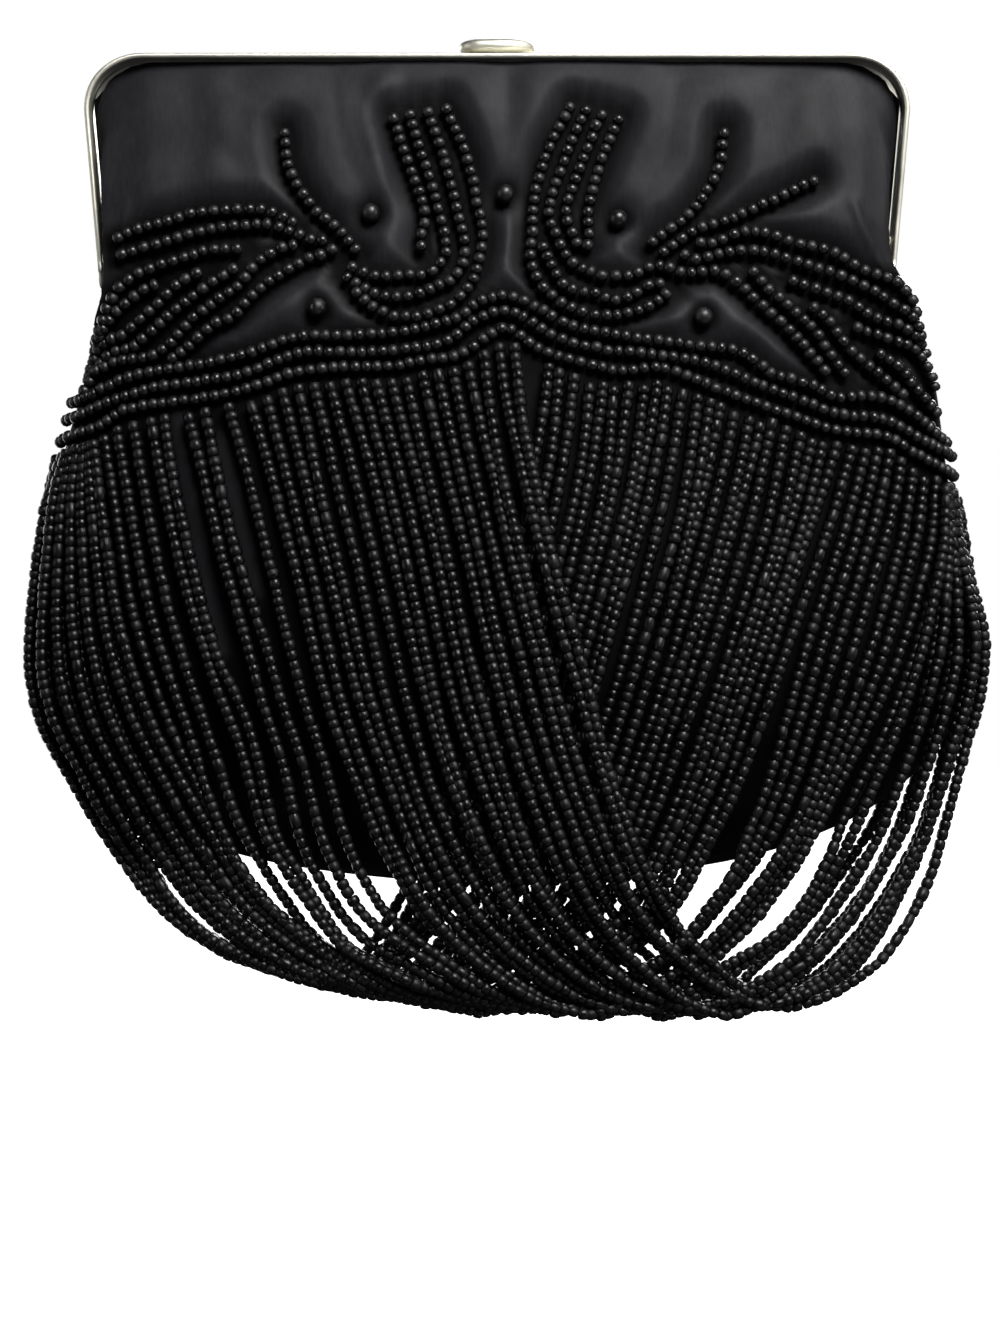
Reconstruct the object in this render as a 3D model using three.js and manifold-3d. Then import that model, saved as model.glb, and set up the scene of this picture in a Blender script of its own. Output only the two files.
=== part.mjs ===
// Beaded evening clutch: satin pouch on a hinged metal frame, couched bead strings, a three-row bead
// band and a looped bead fringe. Millimetres, +Z up, the front faces -Y.
// The origin is the middle of the frame's top, where the bag is held.
import * as THREE from "three";
import { mergeVertices } from "three/addons/utils/BufferGeometryUtils.js";
import ManifoldModule from "manifold-3d";

// ---------------------------------------------------------------- sizes
const WALL = 1.5;              // satin and its backing, as one wall
const SEAM = 0.2;              // half of the slit along the side seams, between the two panels
const GAP = 0.4;               // clearance between neighbouring pieces
const STRING_GAP = 0.66;       // strings stand off the smooth pouch, so that its facets stay clear of them
const FRINGE_GAP = 0.56;       // and so does the fringe
const HEAD_GAP = 0.5;          // rivet heads off the ears, which lean with the arms
const ACROSS = 24;             // facets across each panel
const BEAD_R = 1.0;            // radius of a string of seed beads
const STRING_SIDES = 8;
const STRING_STEP = 5.5;       // length of one step along a string
const ACCENT_R = 1.7;          // larger single beads
const END_PHI = 84;            // strings end this far round to the side seams, degrees

const FRAME_HALF_W = 79.1;     // at the hinges, outside
const FRAME_T = 1.1;           // strip thickness
const FRAME_D = 7.0;           // depth of one half
const FRAME_SPLIT = 0.3;       // half of the slit between the two halves
const FRAME_CORNER_R = 12;
const FRAME_SPREAD = 0.049;    // the arms stand wider apart at the top
const HINGE_Z = -43.5;
const EAR_R = 3.2;
const PIN_HOLE_R = 1.6;
const PIN_R = 1.2;
const PIN_HEAD_R = 2.3;

// Pouch sections, the same for both satin panels: level, half width, depth of the front and the back, squareness, sideways shift.
const POUCH = [
  //   z,     half,  front, back,  power, shift
  [-2.0, 73.5, 4.6, 4.6, 4.0, 0],
  [-5.0, 77.6, 5.8, 5.6, 5.0, 0],
  [-12, 79.6, 7.8, 7.2, 6.0, 0],
  [-24, 78.4, 10.2, 9.0, 6.0, 0],
  [-33, 77.0, 12.2, 10.6, 5.4, 0],
  [-39, 75.2, 13.6, 11.8, 4.6, 0],
  [-47.2, 75.2, 15.8, 13.3, 3.4, 0.2],
  [-50.5, 79.4, 16.7, 13.9, 3.0, 1.4],
  [-54.4, 80.4, 17.5, 14.5, 2.7, 1.8],
  [-63.4, 83.0, 19.4, 16.0, 2.4, 1.9],
  [-75.4, 86.0, 21.8, 17.8, 2.2, 1.0],
  [-88, 89.3, 23.8, 19.2, 2.1, 1.0],
  [-100, 91.5, 25.0, 20.1, 2.1, 1.5],
  [-112, 92.7, 25.6, 20.6, 2.1, 2.0],
  [-120, 92.8, 25.6, 20.6, 2.1, 2.0],
  [-132, 89.6, 24.4, 19.6, 2.1, 1.9],
  [-142, 83.0, 21.6, 17.4, 2.1, 1.5],
  [-150, 74.0, 17.2, 13.8, 2.1, 0.8],
  [-156, 62.0, 12.6, 10.2, 2.0, 0.4],
  [-160.5, 47.0, 8.8, 7.2, 2.0, 0.2],
  [-163.4, 28.0, 5.0, 4.4, 2.0, 0],
  [-165, 12.0, 2.4, 2.3, 2.0, 0],
];
const POUCH_COL = { half: 1, front: 2, back: 3, power: 4, shift: 5 };

// Gathers below the frame: place across, lower end, half breadth, depth.
const GATHERS = [
  //  x,   z_end, breadth, depth
  [-58, -56, 7.0, 0.9],
  [-33, -52, 6.5, 1.0],
  [-9, -46, 6.0, 0.8],
  [12, -50, 6.5, 0.9],
  [36, -52, 6.5, 1.0],
  [60, -58, 7.0, 1.1],
];

// Bead band: three rows, each a line of places x, z from the left side seam to the right one.
const BAND = [
  ["band_row_1", [-82.4, -68.4], [-72.7, -64.7], [-55.8, -62.0], [-37.5, -57.4], [-19.1, -56.6], [-9.0, -54.8], [0.0, -49.4],
    [10.4, -53.4], [21.7, -56.8], [34.8, -58.3], [48.0, -60.2], [66.5, -68.7], [75.1, -68.9], [88.1, -75.3]],
  ["band_row_2", [-84.3, -72.6], [-74.9, -68.8], [-51.4, -64.7], [-31.2, -60.5], [-20.3, -59.9], [-9.0, -57.8], [0.6, -52.6],
    [11.9, -57.6], [22.5, -60.4], [34.6, -61.2], [57.3, -68.8], [67.1, -72.0], [78.7, -73.5], [89.1, -79.3]],
  ["band_row_3", [-85.4, -76.4], [-75.7, -72.5], [-53.4, -68.6], [-33.5, -63.8], [-21.2, -63.2], [-9.3, -61.4], [1.2, -55.9],
    [10.2, -60.8], [20.1, -63.5], [32.4, -64.0], [54.3, -71.6], [66.8, -75.5], [76.1, -77.0], [90.2, -83.2]],
];

// Couched bead strings of the two lobes, each a line of places x, z on the front.
const SWIRLS = [
  ["swirl_left_1", [-76.6, -36], [-68.4, -33.8], [-57.6, -31.9], [-45.1, -32]],
  ["swirl_left_2", [-76.9, -40.9], [-69, -38.6], [-56.8, -35.1], [-44.7, -34.8], [-36.7, -37.9]],
  ["swirl_left_3", [-78.3, -48.5], [-72.3, -44.3], [-61.7, -41], [-50, -39.4]],
  ["swirl_left_4", [-79.3, -53.5], [-73.9, -49.7], [-68.2, -46.5]],
  ["swirl_left_5", [-78.8, -58.1], [-73.7, -55.8], [-68.3, -50.9], [-61.7, -45.3], [-57.1, -43.9]],
  ["swirl_left_6", [-78.6, -61.6], [-72, -58.9], [-64.8, -53.5], [-58.2, -47.6], [-54.1, -44.9]],
  ["swirl_left_7", [-73.0, -61.8], [-66.1, -59.9], [-60.1, -53.8], [-52.4, -47.9], [-46.2, -41.6], [-41.7, -39.3]],
  ["swirl_left_8", [-62.2, -60], [-55.9, -54.7], [-49.5, -49.6], [-40.8, -43.1], [-32.8, -40.1]],
  ["swirl_left_9", [-42.1, -16.6], [-40.8, -23.7], [-35.4, -32], [-30.7, -35.7], [-28.5, -39.1]],
  ["swirl_left_10", [-9.3, -12.6], [-5.3, -22.8], [-2.9, -34.3], [-3.7, -42.4], [-8.2, -49.8], [-18.2, -53.4], [-24.1, -51.4]],
  ["swirl_left_11", [-13.2, -13.2], [-10.1, -22.8], [-7.3, -33.7], [-6.9, -42], [-11.1, -47.6], [-19.4, -49.6], [-26.8, -46.8]],
  ["swirl_left_12", [-16.8, -14], [-14, -22.8], [-11, -34.3], [-10.4, -41.6], [-15.1, -44.8], [-21.9, -45.8], [-28.8, -42.9]],
  ["swirl_left_13", [-20, -14.9], [-17.5, -22.8], [-14.3, -33.3], [-14.9, -40.4]],
  ["swirl_right_1", [41.1, -38.7], [48.4, -36.4], [57.3, -37.1], [68.2, -40.6], [82.9, -46.9]],
  ["swirl_right_2", [36.7, -40.7], [43.4, -41], [51.2, -40.2], [63.9, -43.3], [83.1, -50.5]],
  ["swirl_right_3", [57.5, -45.6], [65.3, -48], [73.1, -51.7], [83.7, -54.7]],
  ["swirl_right_4", [70.6, -54.7], [76.6, -56.5], [83.7, -58.1]],
  ["swirl_right_5", [75, -59.8], [80.4, -63.5], [85.3, -69.1]],
  ["swirl_right_6", [62, -50.7], [67.3, -56.2], [71.1, -61.3], [77.6, -65.7]],
  ["swirl_right_7", [50.1, -43.8], [55.6, -49.5], [61.1, -54], [65.1, -59.5], [69.0, -64.9]],
  ["swirl_right_8", [15.2, -13.2], [11.6, -22.8], [10, -32.7], [14.1, -41.8], [21.2, -45.2], [31, -42.9], [37.9, -44.5],
    [44, -44.2], [50.7, -49.3], [59.1, -57.8], [63.6, -62.8]],
  ["swirl_right_9", [44.9, -16.6], [43.6, -23.7], [37.6, -32.6], [34, -35.9], [30.3, -39.1]],
  ["swirl_right_10", [62.9, -26.1], [55.8, -29.3], [48.5, -32.4], [44.3, -34.2], [38, -36.5]],
  ["swirl_right_11", [12.5, -12.6], [8.7, -22.8], [6.9, -34.7], [6.7, -42.6], [10.8, -49.4], [20.5, -52.8], [28, -51.7], [33.5, -49.5]],
  ["swirl_right_12", [10.2, -41.6], [13.3, -47.2], [19.4, -48.6], [25.5, -49], [31, -46.7]],
  ["swirl_right_13", [18, -13.6], [14.6, -22.8], [13.6, -32.9], [15.5, -38]],
  ["swirl_right_14", [21.2, -14.7], [18.4, -22.8], [18.1, -32.7], [18.5, -37.5]],
];

// Larger beads set between the strings.
const ACCENTS = [
  //               x,     z
  ["accent_bead_1", -24.7, -33.2],
  ["accent_bead_2", 23.8, -34.4],
  ["accent_bead_3", -35.0, -52.0],
  ["accent_bead_4", 40.1, -53.7],
  ["accent_bead_5", 1.6, -29.4],
];

// Fringe: outer form by level. While it lies on the pouch its outside is the pouch plus its thickness;
// below the pouch's widest level it hangs free between its own left and right edges.
const FRINGE = [
  //   z,   left,  right, front, end_y, thick
  [-50, null, null, null, 0, 2.3],
  [-84, null, null, null, 0, 2.4],
  [-100, null, null, null, 0, 3.0],
  [-120, -94.8, 98.6, 29.8, 0, 3.8],
  [-128, -94.0, 97.4, 29.9, -1, 3.8],
  [-136, -90.6, 94.8, 29.8, -2, 3.8],
  [-144, -86.2, 92.6, 29.6, -3.5, 3.8],
  [-152, -82.0, 90.8, 29.2, -5, 3.8],
  [-160, -76.8, 88.6, 28.6, -7, 3.8],
  [-168, -70.8, 85.8, 28.0, -9, 3.8],
  [-176, -61.6, 81.0, 27.4, -11, 3.8],
  [-182, -49.5, 75.8, 27.0, -13, 3.8],
  [-187, -31.0, 67.6, 26.6, -14.5, 3.8],
  [-190.5, -11.0, 62.0, 26.2, -15.5, 3.8],
  [-192.4, -4.8, 58.0, 26.0, -16, 3.8],
];
const FRINGE_COL = { left: 1, right: 2, front: 3, endY: 4, thick: 5 };
const FRINGE_COLUMNS = 32;
const FRINGE_ROWS = 20;
const FRINGE_DROP = 1.9;       // top edge below the middle of the lowest band row

// ---------------------------------------------------------------- small helpers
const rad = (d) => (d * Math.PI) / 180;

function fromTable(table, z, column) {
  if (z >= table[0][0]) return table[0][column];
  for (let i = 1; i < table.length; i++) {
    if (z >= table[i][0]) {
      const t = (z - table[i - 1][0]) / (table[i][0] - table[i - 1][0]);
      return table[i - 1][column] + t * (table[i][column] - table[i - 1][column]);
    }
  }
  return table[table.length - 1][column];
}
const pouchAt = (z, name) => fromTable(POUCH, z, POUCH_COL[name]);

// Depth of a superellipse of that power, for a place across of s between -1 and 1.
const crown = (s, power) => Math.pow(Math.max(0, 1 - Math.pow(Math.abs(s), power)), 1 / power);

// Place on the pouch: phi runs -90 (left seam) to 90 (right seam) on the front, on round the back.
function pouchPoint(phi, z) {
  const power = pouchAt(z, "power");
  const s = Math.sin(rad(phi));
  const front = Math.cos(rad(phi)) >= 0;
  const depth = crown(s, power) * pouchAt(z, front ? "front" : "back") + SEAM;
  return new THREE.Vector3(pouchAt(z, "shift") + pouchAt(z, "half") * s, front ? -depth : depth, z);
}

function pouchNormal(phi, z) {
  const dPhi = pouchPoint(phi + 0.5, z).sub(pouchPoint(phi - 0.5, z));
  const dZ = pouchPoint(phi, z + 0.5).sub(pouchPoint(phi, z - 0.5));
  return dPhi.cross(dZ).normalize();
}

function phiAt(x, z) {
  const u = (x - pouchAt(z, "shift")) / pouchAt(z, "half");
  return THREE.MathUtils.clamp((Math.asin(THREE.MathUtils.clamp(u, -1, 1)) * 180) / Math.PI, -END_PHI, END_PHI);
}

function gatherDepth(p) {
  let d = 0;
  for (const [x, zEnd, breadth, depth] of GATHERS) {
    const fade = THREE.MathUtils.smoothstep(p.z, zEnd, zEnd + 26) * THREE.MathUtils.smoothstep(-p.z, 2, 10);
    d += depth * fade * Math.exp(-(((p.x - x) / breadth) ** 2));
  }
  return d;
}

function meshOf(name, positions, index, material) {
  const g = new THREE.BufferGeometry();
  g.setAttribute("position", new THREE.Float32BufferAttribute(positions, 3));
  g.setIndex(index);
  g.computeVertexNormals();
  const m = new THREE.Mesh(g, material);
  m.name = name;
  return m;
}

// ---------------------------------------------------------------- materials
const satin = new THREE.MeshStandardMaterial({ name: "satin", color: 0x0b0a0d, roughness: 0.45 });
const beads = new THREE.MeshStandardMaterial({ name: "beads", color: 0x050506, roughness: 0.12 });
const metal = new THREE.MeshStandardMaterial({ name: "metal", color: 0x8f8f82, metalness: 1, roughness: 0.35 });

// ---------------------------------------------------------------- satin panels
// One panel, from side seam to side seam: its outside, its inside, and the four rims that close it.
// At the foot the wall runs on to the bottom seam, so that the two panels meet there.
function makePanel(front) {
  const pos = [], index = [];
  const push = (p) => (pos.push(p.x, p.y, p.z), pos.length / 3 - 1);
  const start = front ? -90 : 90;
  const outer = [], inner = [];
  for (const [z] of POUCH) {
    const o = [], n = [];
    for (let k = 0; k <= ACROSS; k++) {
      const turn = THREE.MathUtils.clamp((180 * k) / ACROSS, 0.001, 179.999);
      const phi = start + turn;
      const inward = THREE.MathUtils.clamp((180 * k) / ACROSS, 1, 179) + start;
      const p = pouchPoint(phi, z);
      const normal = pouchNormal(inward, z);
      p.addScaledVector(normal, -gatherDepth(p));
      o.push(push(p));
      const way = normal.clone();
      if (z > -10) way.setZ(0);
      if (k === 0 || k === ACROSS) way.setY(0);
      way.normalize();
      const q = p.clone().addScaledVector(way, -WALL);
      if (z === POUCH[POUCH.length - 1][0]) q.set(p.x * 0.85, Math.sign(p.y) * SEAM + 0.1 * (p.y - Math.sign(p.y) * SEAM), z);
      n.push(push(q));
    }
    outer.push(o);
    inner.push(n);
  }
  const quad = (p, q, r, s) => index.push(p, q, r, p, r, s);
  const last = POUCH.length - 1;
  for (let i = 0; i < last; i++) {
    for (let k = 0; k < ACROSS; k++) {
      quad(outer[i][k], outer[i + 1][k], outer[i + 1][k + 1], outer[i][k + 1]);
      quad(inner[i][k], inner[i][k + 1], inner[i + 1][k + 1], inner[i + 1][k]);
    }
    quad(outer[i][0], inner[i][0], inner[i + 1][0], outer[i + 1][0]);
    quad(outer[i][ACROSS], outer[i + 1][ACROSS], inner[i + 1][ACROSS], inner[i][ACROSS]);
  }
  for (let k = 0; k < ACROSS; k++) {
    quad(outer[0][k], outer[0][k + 1], inner[0][k + 1], inner[0][k]);
    quad(outer[last][k], inner[last][k], inner[last][k + 1], outer[last][k + 1]);
  }
  return meshOf(front ? "satin_front" : "satin_back", pos, index, satin);
}

// ---------------------------------------------------------------- bead strings
function onPouch(places, lift) {
  const ends = places.map(([x, z]) => new THREE.Vector2(phiAt(x, z), z));
  const line = new THREE.SplineCurve(ends);
  const count = Math.max(8, places.length * 4);
  return line.getPoints(count).map((q) => pouchPoint(q.x, q.y).addScaledVector(pouchNormal(q.x, q.y), lift));
}

function makeString(name, places) {
  const curve = new THREE.CatmullRomCurve3(onPouch(places, BEAD_R + STRING_GAP), false, "centripetal");
  const section = new THREE.Shape();
  for (let k = 0; k < STRING_SIDES; k++) {
    const a = (2 * Math.PI * k) / STRING_SIDES;
    if (k === 0) section.moveTo(BEAD_R * Math.cos(a), BEAD_R * Math.sin(a));
    else section.lineTo(BEAD_R * Math.cos(a), BEAD_R * Math.sin(a));
  }
  section.closePath();
  const steps = Math.max(4, Math.round(curve.getLength() / STRING_STEP));
  const g = new THREE.ExtrudeGeometry(section, { steps, extrudePath: curve, bevelEnabled: false });
  const m = new THREE.Mesh(g, beads);
  m.name = name;
  return m;
}

function makeAccent(name, x, z) {
  const phi = phiAt(x, z);
  const g = new THREE.SphereGeometry(ACCENT_R, 12, 8);
  const p = pouchPoint(phi, z).addScaledVector(pouchNormal(phi, z), ACCENT_R + GAP);
  g.translate(p.x, p.y, p.z);
  const m = new THREE.Mesh(g, beads);
  m.name = name;
  return m;
}

// ---------------------------------------------------------------- fringe
function fringePoint(phi, z, outside) {
  const thick = fromTable(FRINGE, z, FRINGE_COL.thick);
  const lying = FRINGE[3][0];
  const lift = FRINGE_GAP + (outside ? thick : 0);
  const draped = (zz) => {
    const t = fromTable(FRINGE, zz, FRINGE_COL.thick);
    return { left: pouchAt(zz, "shift") - pouchAt(zz, "half") - FRINGE_GAP - t, right: pouchAt(zz, "shift") + pouchAt(zz, "half") + FRINGE_GAP + t,
      front: pouchAt(zz, "front") + FRINGE_GAP + t };
  };
  if (z > lying) return pouchPoint(phi, z).addScaledVector(pouchNormal(phi, z).setZ(0).normalize(), lift);
  const rim = draped(lying);
  const grow = (name) => fromTable([[lying, rim[name]], ...FRINGE.slice(4).map((r) => [r[0], r[FRINGE_COL[name]]])], z, 1);
  const cut = outside ? 0 : thick;
  const left = grow("left") + cut, right = grow("right") - cut;
  const endY = fromTable(FRINGE, z, FRINGE_COL.endY);
  const power = pouchAt(lying, "power");
  const front = grow("front") - cut + endY;
  return new THREE.Vector3(
    (left + right) / 2 + ((right - left) / 2) * Math.sin(rad(phi)),
    endY - SEAM - front * crown(Math.sin(rad(phi)), power),
    z,
  );
}

function makeFringe() {
  const lowest = BAND[BAND.length - 1].slice(1).map(([x, z]) => [phiAt(x, z), z]);
  const edge = new THREE.SplineCurve(lowest.map(([p, z]) => new THREE.Vector2(p, z))).getPoints(160);
  const topAt = (phi) => {
    let best = edge[0];
    for (const q of edge) if (Math.abs(q.x - phi) < Math.abs(best.x - phi)) best = q;
    return best.y - FRINGE_DROP;
  };
  const bottom = FRINGE[FRINGE.length - 1][0];
  const pos = [], index = [];
  const grids = [true, false].map((outside) => {
    const rows = [];
    for (let i = 0; i <= FRINGE_ROWS; i++) {
      const row = [];
      for (let k = 0; k <= FRINGE_COLUMNS; k++) {
        const phi = -88 + (176 * k) / FRINGE_COLUMNS;
        const z = THREE.MathUtils.lerp(topAt(phi), bottom, i / FRINGE_ROWS);
        const p = fringePoint(phi, z, outside);
        pos.push(p.x, p.y, p.z);
        row.push(pos.length / 3 - 1);
      }
      rows.push(row);
    }
    return rows;
  });
  const [out, inn] = grids;
  const quad = (p, q, r, s) => index.push(p, q, r, p, r, s);
  for (let i = 0; i < FRINGE_ROWS; i++) {
    for (let k = 0; k < FRINGE_COLUMNS; k++) {
      quad(out[i][k], out[i + 1][k], out[i + 1][k + 1], out[i][k + 1]);
      quad(inn[i][k], inn[i][k + 1], inn[i + 1][k + 1], inn[i + 1][k]);
    }
    quad(out[i][0], inn[i][0], inn[i + 1][0], out[i + 1][0]);
    const e = FRINGE_COLUMNS;
    quad(out[i][e], out[i + 1][e], inn[i + 1][e], inn[i][e]);
  }
  for (let k = 0; k < FRINGE_COLUMNS; k++) {
    quad(out[0][k], out[0][k + 1], inn[0][k + 1], inn[0][k]);
    const b = FRINGE_ROWS;
    quad(out[b][k], inn[b][k], inn[b][k + 1], out[b][k + 1]);
  }
  return meshOf("bead_fringe", pos, index, beads);
}

// ---------------------------------------------------------------- frame
const wasm = await ManifoldModule();
wasm.setup();
const { Manifold, Mesh } = wasm;

function toSolid(geometry) {
  const bare = new THREE.BufferGeometry().setAttribute("position", geometry.getAttribute("position"));
  if (geometry.index) bare.setIndex(geometry.index);
  const merged = mergeVertices(bare, 1e-3);
  return new Manifold(new Mesh({ numProp: 3, vertProperties: merged.attributes.position.array, triVerts: new Uint32Array(merged.index.array) }));
}

function fromSolid(solid, name, material, bend) {
  const m = solid.getMesh();
  const pos = [];
  for (let i = 0; i < m.numVert; i++) {
    const v = new THREE.Vector3(m.vertProperties[i * m.numProp], m.vertProperties[i * m.numProp + 1], m.vertProperties[i * m.numProp + 2]);
    const p = bend ? bend(v) : v;
    pos.push(p.x, p.y, p.z);
  }
  return meshOf(name, pos, Array.from(m.triVerts), material);
}

// The arms of the frame lean outwards towards the top.
const spread = (v) => v.setX(v.x * (1 + (FRAME_SPREAD * (v.z - HINGE_Z)) / -HINGE_Z));

function stripShape(bottom) {
  const outline = (inset) => {
    const w = FRAME_HALF_W - inset, r = FRAME_CORNER_R - inset, top = -inset;
    const pts = [[-w, bottom]];
    for (let k = 0; k <= 6; k++) pts.push([-w + r - r * Math.cos((Math.PI / 2) * (k / 6)), top - r + r * Math.sin((Math.PI / 2) * (k / 6))]);
    for (let k = 0; k <= 6; k++) pts.push([w - r + r * Math.sin((Math.PI / 2) * (k / 6)), top - r + r * Math.cos((Math.PI / 2) * (k / 6))]);
    pts.push([w, bottom]);
    return pts;
  };
  const points = [...outline(0), ...outline(FRAME_T).reverse()];
  return new THREE.Shape(points.map(([x, z]) => new THREE.Vector2(x, z)));
}

// Extrude an outline drawn in x, z towards +Y.
function alongY(shape, y0, depth) {
  const g = new THREE.ExtrudeGeometry(shape, { depth, bevelEnabled: false, curveSegments: 12 });
  g.rotateX(Math.PI / 2);
  g.translate(0, y0 + depth, 0);
  return g;
}

function alongX(radius, x0, x1, sides = 24) {
  const g = new THREE.CylinderGeometry(radius, radius, x1 - x0, sides);
  g.rotateZ(Math.PI / 2);
  g.translate((x0 + x1) / 2, 0, HINGE_Z);
  return toSolid(g);
}

function box(x0, x1, y0, y1, z0, z1) {
  const g = new THREE.BoxGeometry(x1 - x0, y1 - y0, z1 - z0);
  g.translate((x0 + x1) / 2, (y0 + y1) / 2, (z0 + z1) / 2);
  return toSolid(g);
}

function makeFrame(front) {
  const name = front ? "frame_front" : "frame_back";
  const y0 = front ? -FRAME_SPLIT - FRAME_D : FRAME_SPLIT;
  const armEnd = front ? HINGE_Z : HINGE_Z + EAR_R + GAP;
  let solid = toSolid(alongY(stripShape(armEnd), y0, FRAME_D));
  for (const side of [-1, 1]) {
    const outX = FRAME_HALF_W - (front ? 0 : FRAME_T + GAP);
    const span = [side * outX, side * (outX - FRAME_T)].sort((a, b) => a - b);
    const yIn = front ? [y0, 0] : [0, y0 + FRAME_D];
    solid = solid.add(alongX(EAR_R, span[0], span[1]));
    if (front) {
      solid = solid.add(box(span[0], span[1], -FRAME_D + 1, 0, HINGE_Z - EAR_R, HINGE_Z + 0.5));
    } else {
      solid = solid.add(box(span[0], span[1], yIn[0], yIn[1] - 1, HINGE_Z - 1, HINGE_Z + 8));
      const joggle = [side * (outX - FRAME_T), side * (FRAME_HALF_W - 0.2)].sort((a, b) => a - b);
      solid = solid.add(box(joggle[0], joggle[1], FRAME_SPLIT + 0.2, yIn[1] - 0.2, armEnd + 0.2, HINGE_Z + 8));
    }
    solid = solid.subtract(alongX(PIN_HOLE_R, span[0] - 1, span[1] + 1));
  }
  return fromSolid(solid, name, metal, spread);
}

function makePin(side) {
  const out = FRAME_HALF_W + HEAD_GAP, inn = FRAME_HALF_W - 2 * FRAME_T - GAP - HEAD_GAP;
  const parts = [[PIN_R, inn - 0.15, out + 0.3], [PIN_HEAD_R, out, out + 0.8], [PIN_HEAD_R, inn - 0.3, inn]];
  const solids = parts.map(([r, a, b]) => alongX(r, ...[side * a, side * b].sort((p, q) => p - q)));
  return fromSolid(solids.reduce((a, b) => a.add(b)), side < 0 ? "hinge_pin_left" : "hinge_pin_right", metal);
}

// Plain closing bar that bridges the two halves at the top.
const CLASP = { length: 15, breadth: 9, height: 3.2, bevel: 0.7 };
function makeClasp() {
  const r = CLASP.breadth / 2 - CLASP.bevel, h = CLASP.length / 2 - CLASP.breadth / 2;
  const s = new THREE.Shape();
  s.absarc(h, 0, r, -Math.PI / 2, Math.PI / 2, false);
  s.absarc(-h, 0, r, Math.PI / 2, (3 * Math.PI) / 2, false);
  s.closePath();
  const g = new THREE.ExtrudeGeometry(s, { depth: CLASP.height - 2 * CLASP.bevel, bevelEnabled: true, bevelThickness: CLASP.bevel,
    bevelSize: CLASP.bevel, bevelSegments: 2, curveSegments: 10 });
  g.translate(0, 0, GAP + CLASP.bevel);
  const m = new THREE.Mesh(g, metal);
  m.name = "clasp";
  return m;
}

// ---------------------------------------------------------------- the bag
const bag = new THREE.Group();
bag.name = "beaded_clutch";
bag.add(makePanel(true), makePanel(false));
bag.add(makeFrame(true), makeFrame(false), makePin(-1), makePin(1), makeClasp());
for (const [name, ...places] of BAND) bag.add(makeString(name, places));
for (const [name, ...places] of SWIRLS) bag.add(makeString(name, places));
for (const [name, x, z] of ACCENTS) bag.add(makeAccent(name, x, z));
bag.add(makeFringe());

export default bag;
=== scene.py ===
import math

import bpy
import numpy as np
from mathutils.kdtree import KDTree
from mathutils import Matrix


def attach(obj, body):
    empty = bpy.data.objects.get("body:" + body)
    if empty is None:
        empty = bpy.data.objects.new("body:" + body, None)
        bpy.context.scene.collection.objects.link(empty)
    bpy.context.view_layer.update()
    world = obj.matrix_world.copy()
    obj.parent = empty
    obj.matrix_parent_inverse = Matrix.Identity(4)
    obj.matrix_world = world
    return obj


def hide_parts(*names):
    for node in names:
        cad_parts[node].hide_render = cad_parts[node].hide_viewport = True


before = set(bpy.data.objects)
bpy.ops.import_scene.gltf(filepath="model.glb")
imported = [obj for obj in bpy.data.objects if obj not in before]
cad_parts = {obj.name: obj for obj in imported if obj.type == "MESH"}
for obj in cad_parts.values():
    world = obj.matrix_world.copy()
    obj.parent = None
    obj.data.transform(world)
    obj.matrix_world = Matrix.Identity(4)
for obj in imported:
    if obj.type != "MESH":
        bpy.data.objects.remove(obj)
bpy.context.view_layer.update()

# Beaded evening clutch: satin pouch, metal frame, couched bead strings, bead band, looped bead fringe.
# Lengths below are millimetres; every mesh is written in metres.
MM = 0.001
RNG = np.random.default_rng(11)

# ------------------------------------------------------------------ view of the picture, 1000 x 1333
PX = 0.2                     # mm for one pixel in the plane y = 0
MID_X, TOP_Y = 497.0, 58.0   # pixel of the frame's middle and of its top
DIST = 800.0                 # camera to the plane y = 0
EYE_X = (500.0 - MID_X) * PX
EYE_Z = -(666.5 - TOP_Y) * PX


def to_world(px, py, y):
    """Place on the plane at depth y that is seen at a pixel."""
    k = (DIST + y) / DIST
    return EYE_X + (px - 500.0) * PX * k, EYE_Z - (py - 666.5) * PX * k


def to_pixel(p):
    k = (DIST + p[..., 1]) / DIST
    return 500.0 + (p[..., 0] - EYE_X) / (PX * k), 666.5 - (p[..., 2] - EYE_Z) / (PX * k)


# ------------------------------------------------------------------ smooth tables
def pchip(xs, ys):
    """Monotone cubic through a table whose xs rise."""
    xs, ys = np.asarray(xs, float), np.asarray(ys, float)
    h = np.diff(xs)
    d = np.diff(ys) / h
    m = np.zeros(len(xs))
    for i in range(1, len(xs) - 1):
        if d[i - 1] * d[i] > 0:
            w1, w2 = 2 * h[i] + h[i - 1], h[i] + 2 * h[i - 1]
            m[i] = (w1 + w2) / (w1 / d[i - 1] + w2 / d[i])
    m[0], m[-1] = d[0], d[-1]

    def f(x):
        x = np.clip(np.asarray(x, float), xs[0], xs[-1])
        i = np.clip(np.searchsorted(xs, x, side="right") - 1, 0, len(xs) - 2)
        t = (x - xs[i]) / h[i]
        a, b, c, e = ys[i], m[i] * h[i], ys[i + 1], m[i + 1] * h[i]
        return a * (2 * t**3 - 3 * t**2 + 1) + b * (t**3 - 2 * t**2 + t) + c * (-2 * t**3 + 3 * t**2) + e * (t**3 - t**2)

    return f


def smoothstep(a, b, x):
    t = np.clip((np.asarray(x, float) - a) / (b - a), 0, 1)
    return t * t * (3 - 2 * t)


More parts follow.
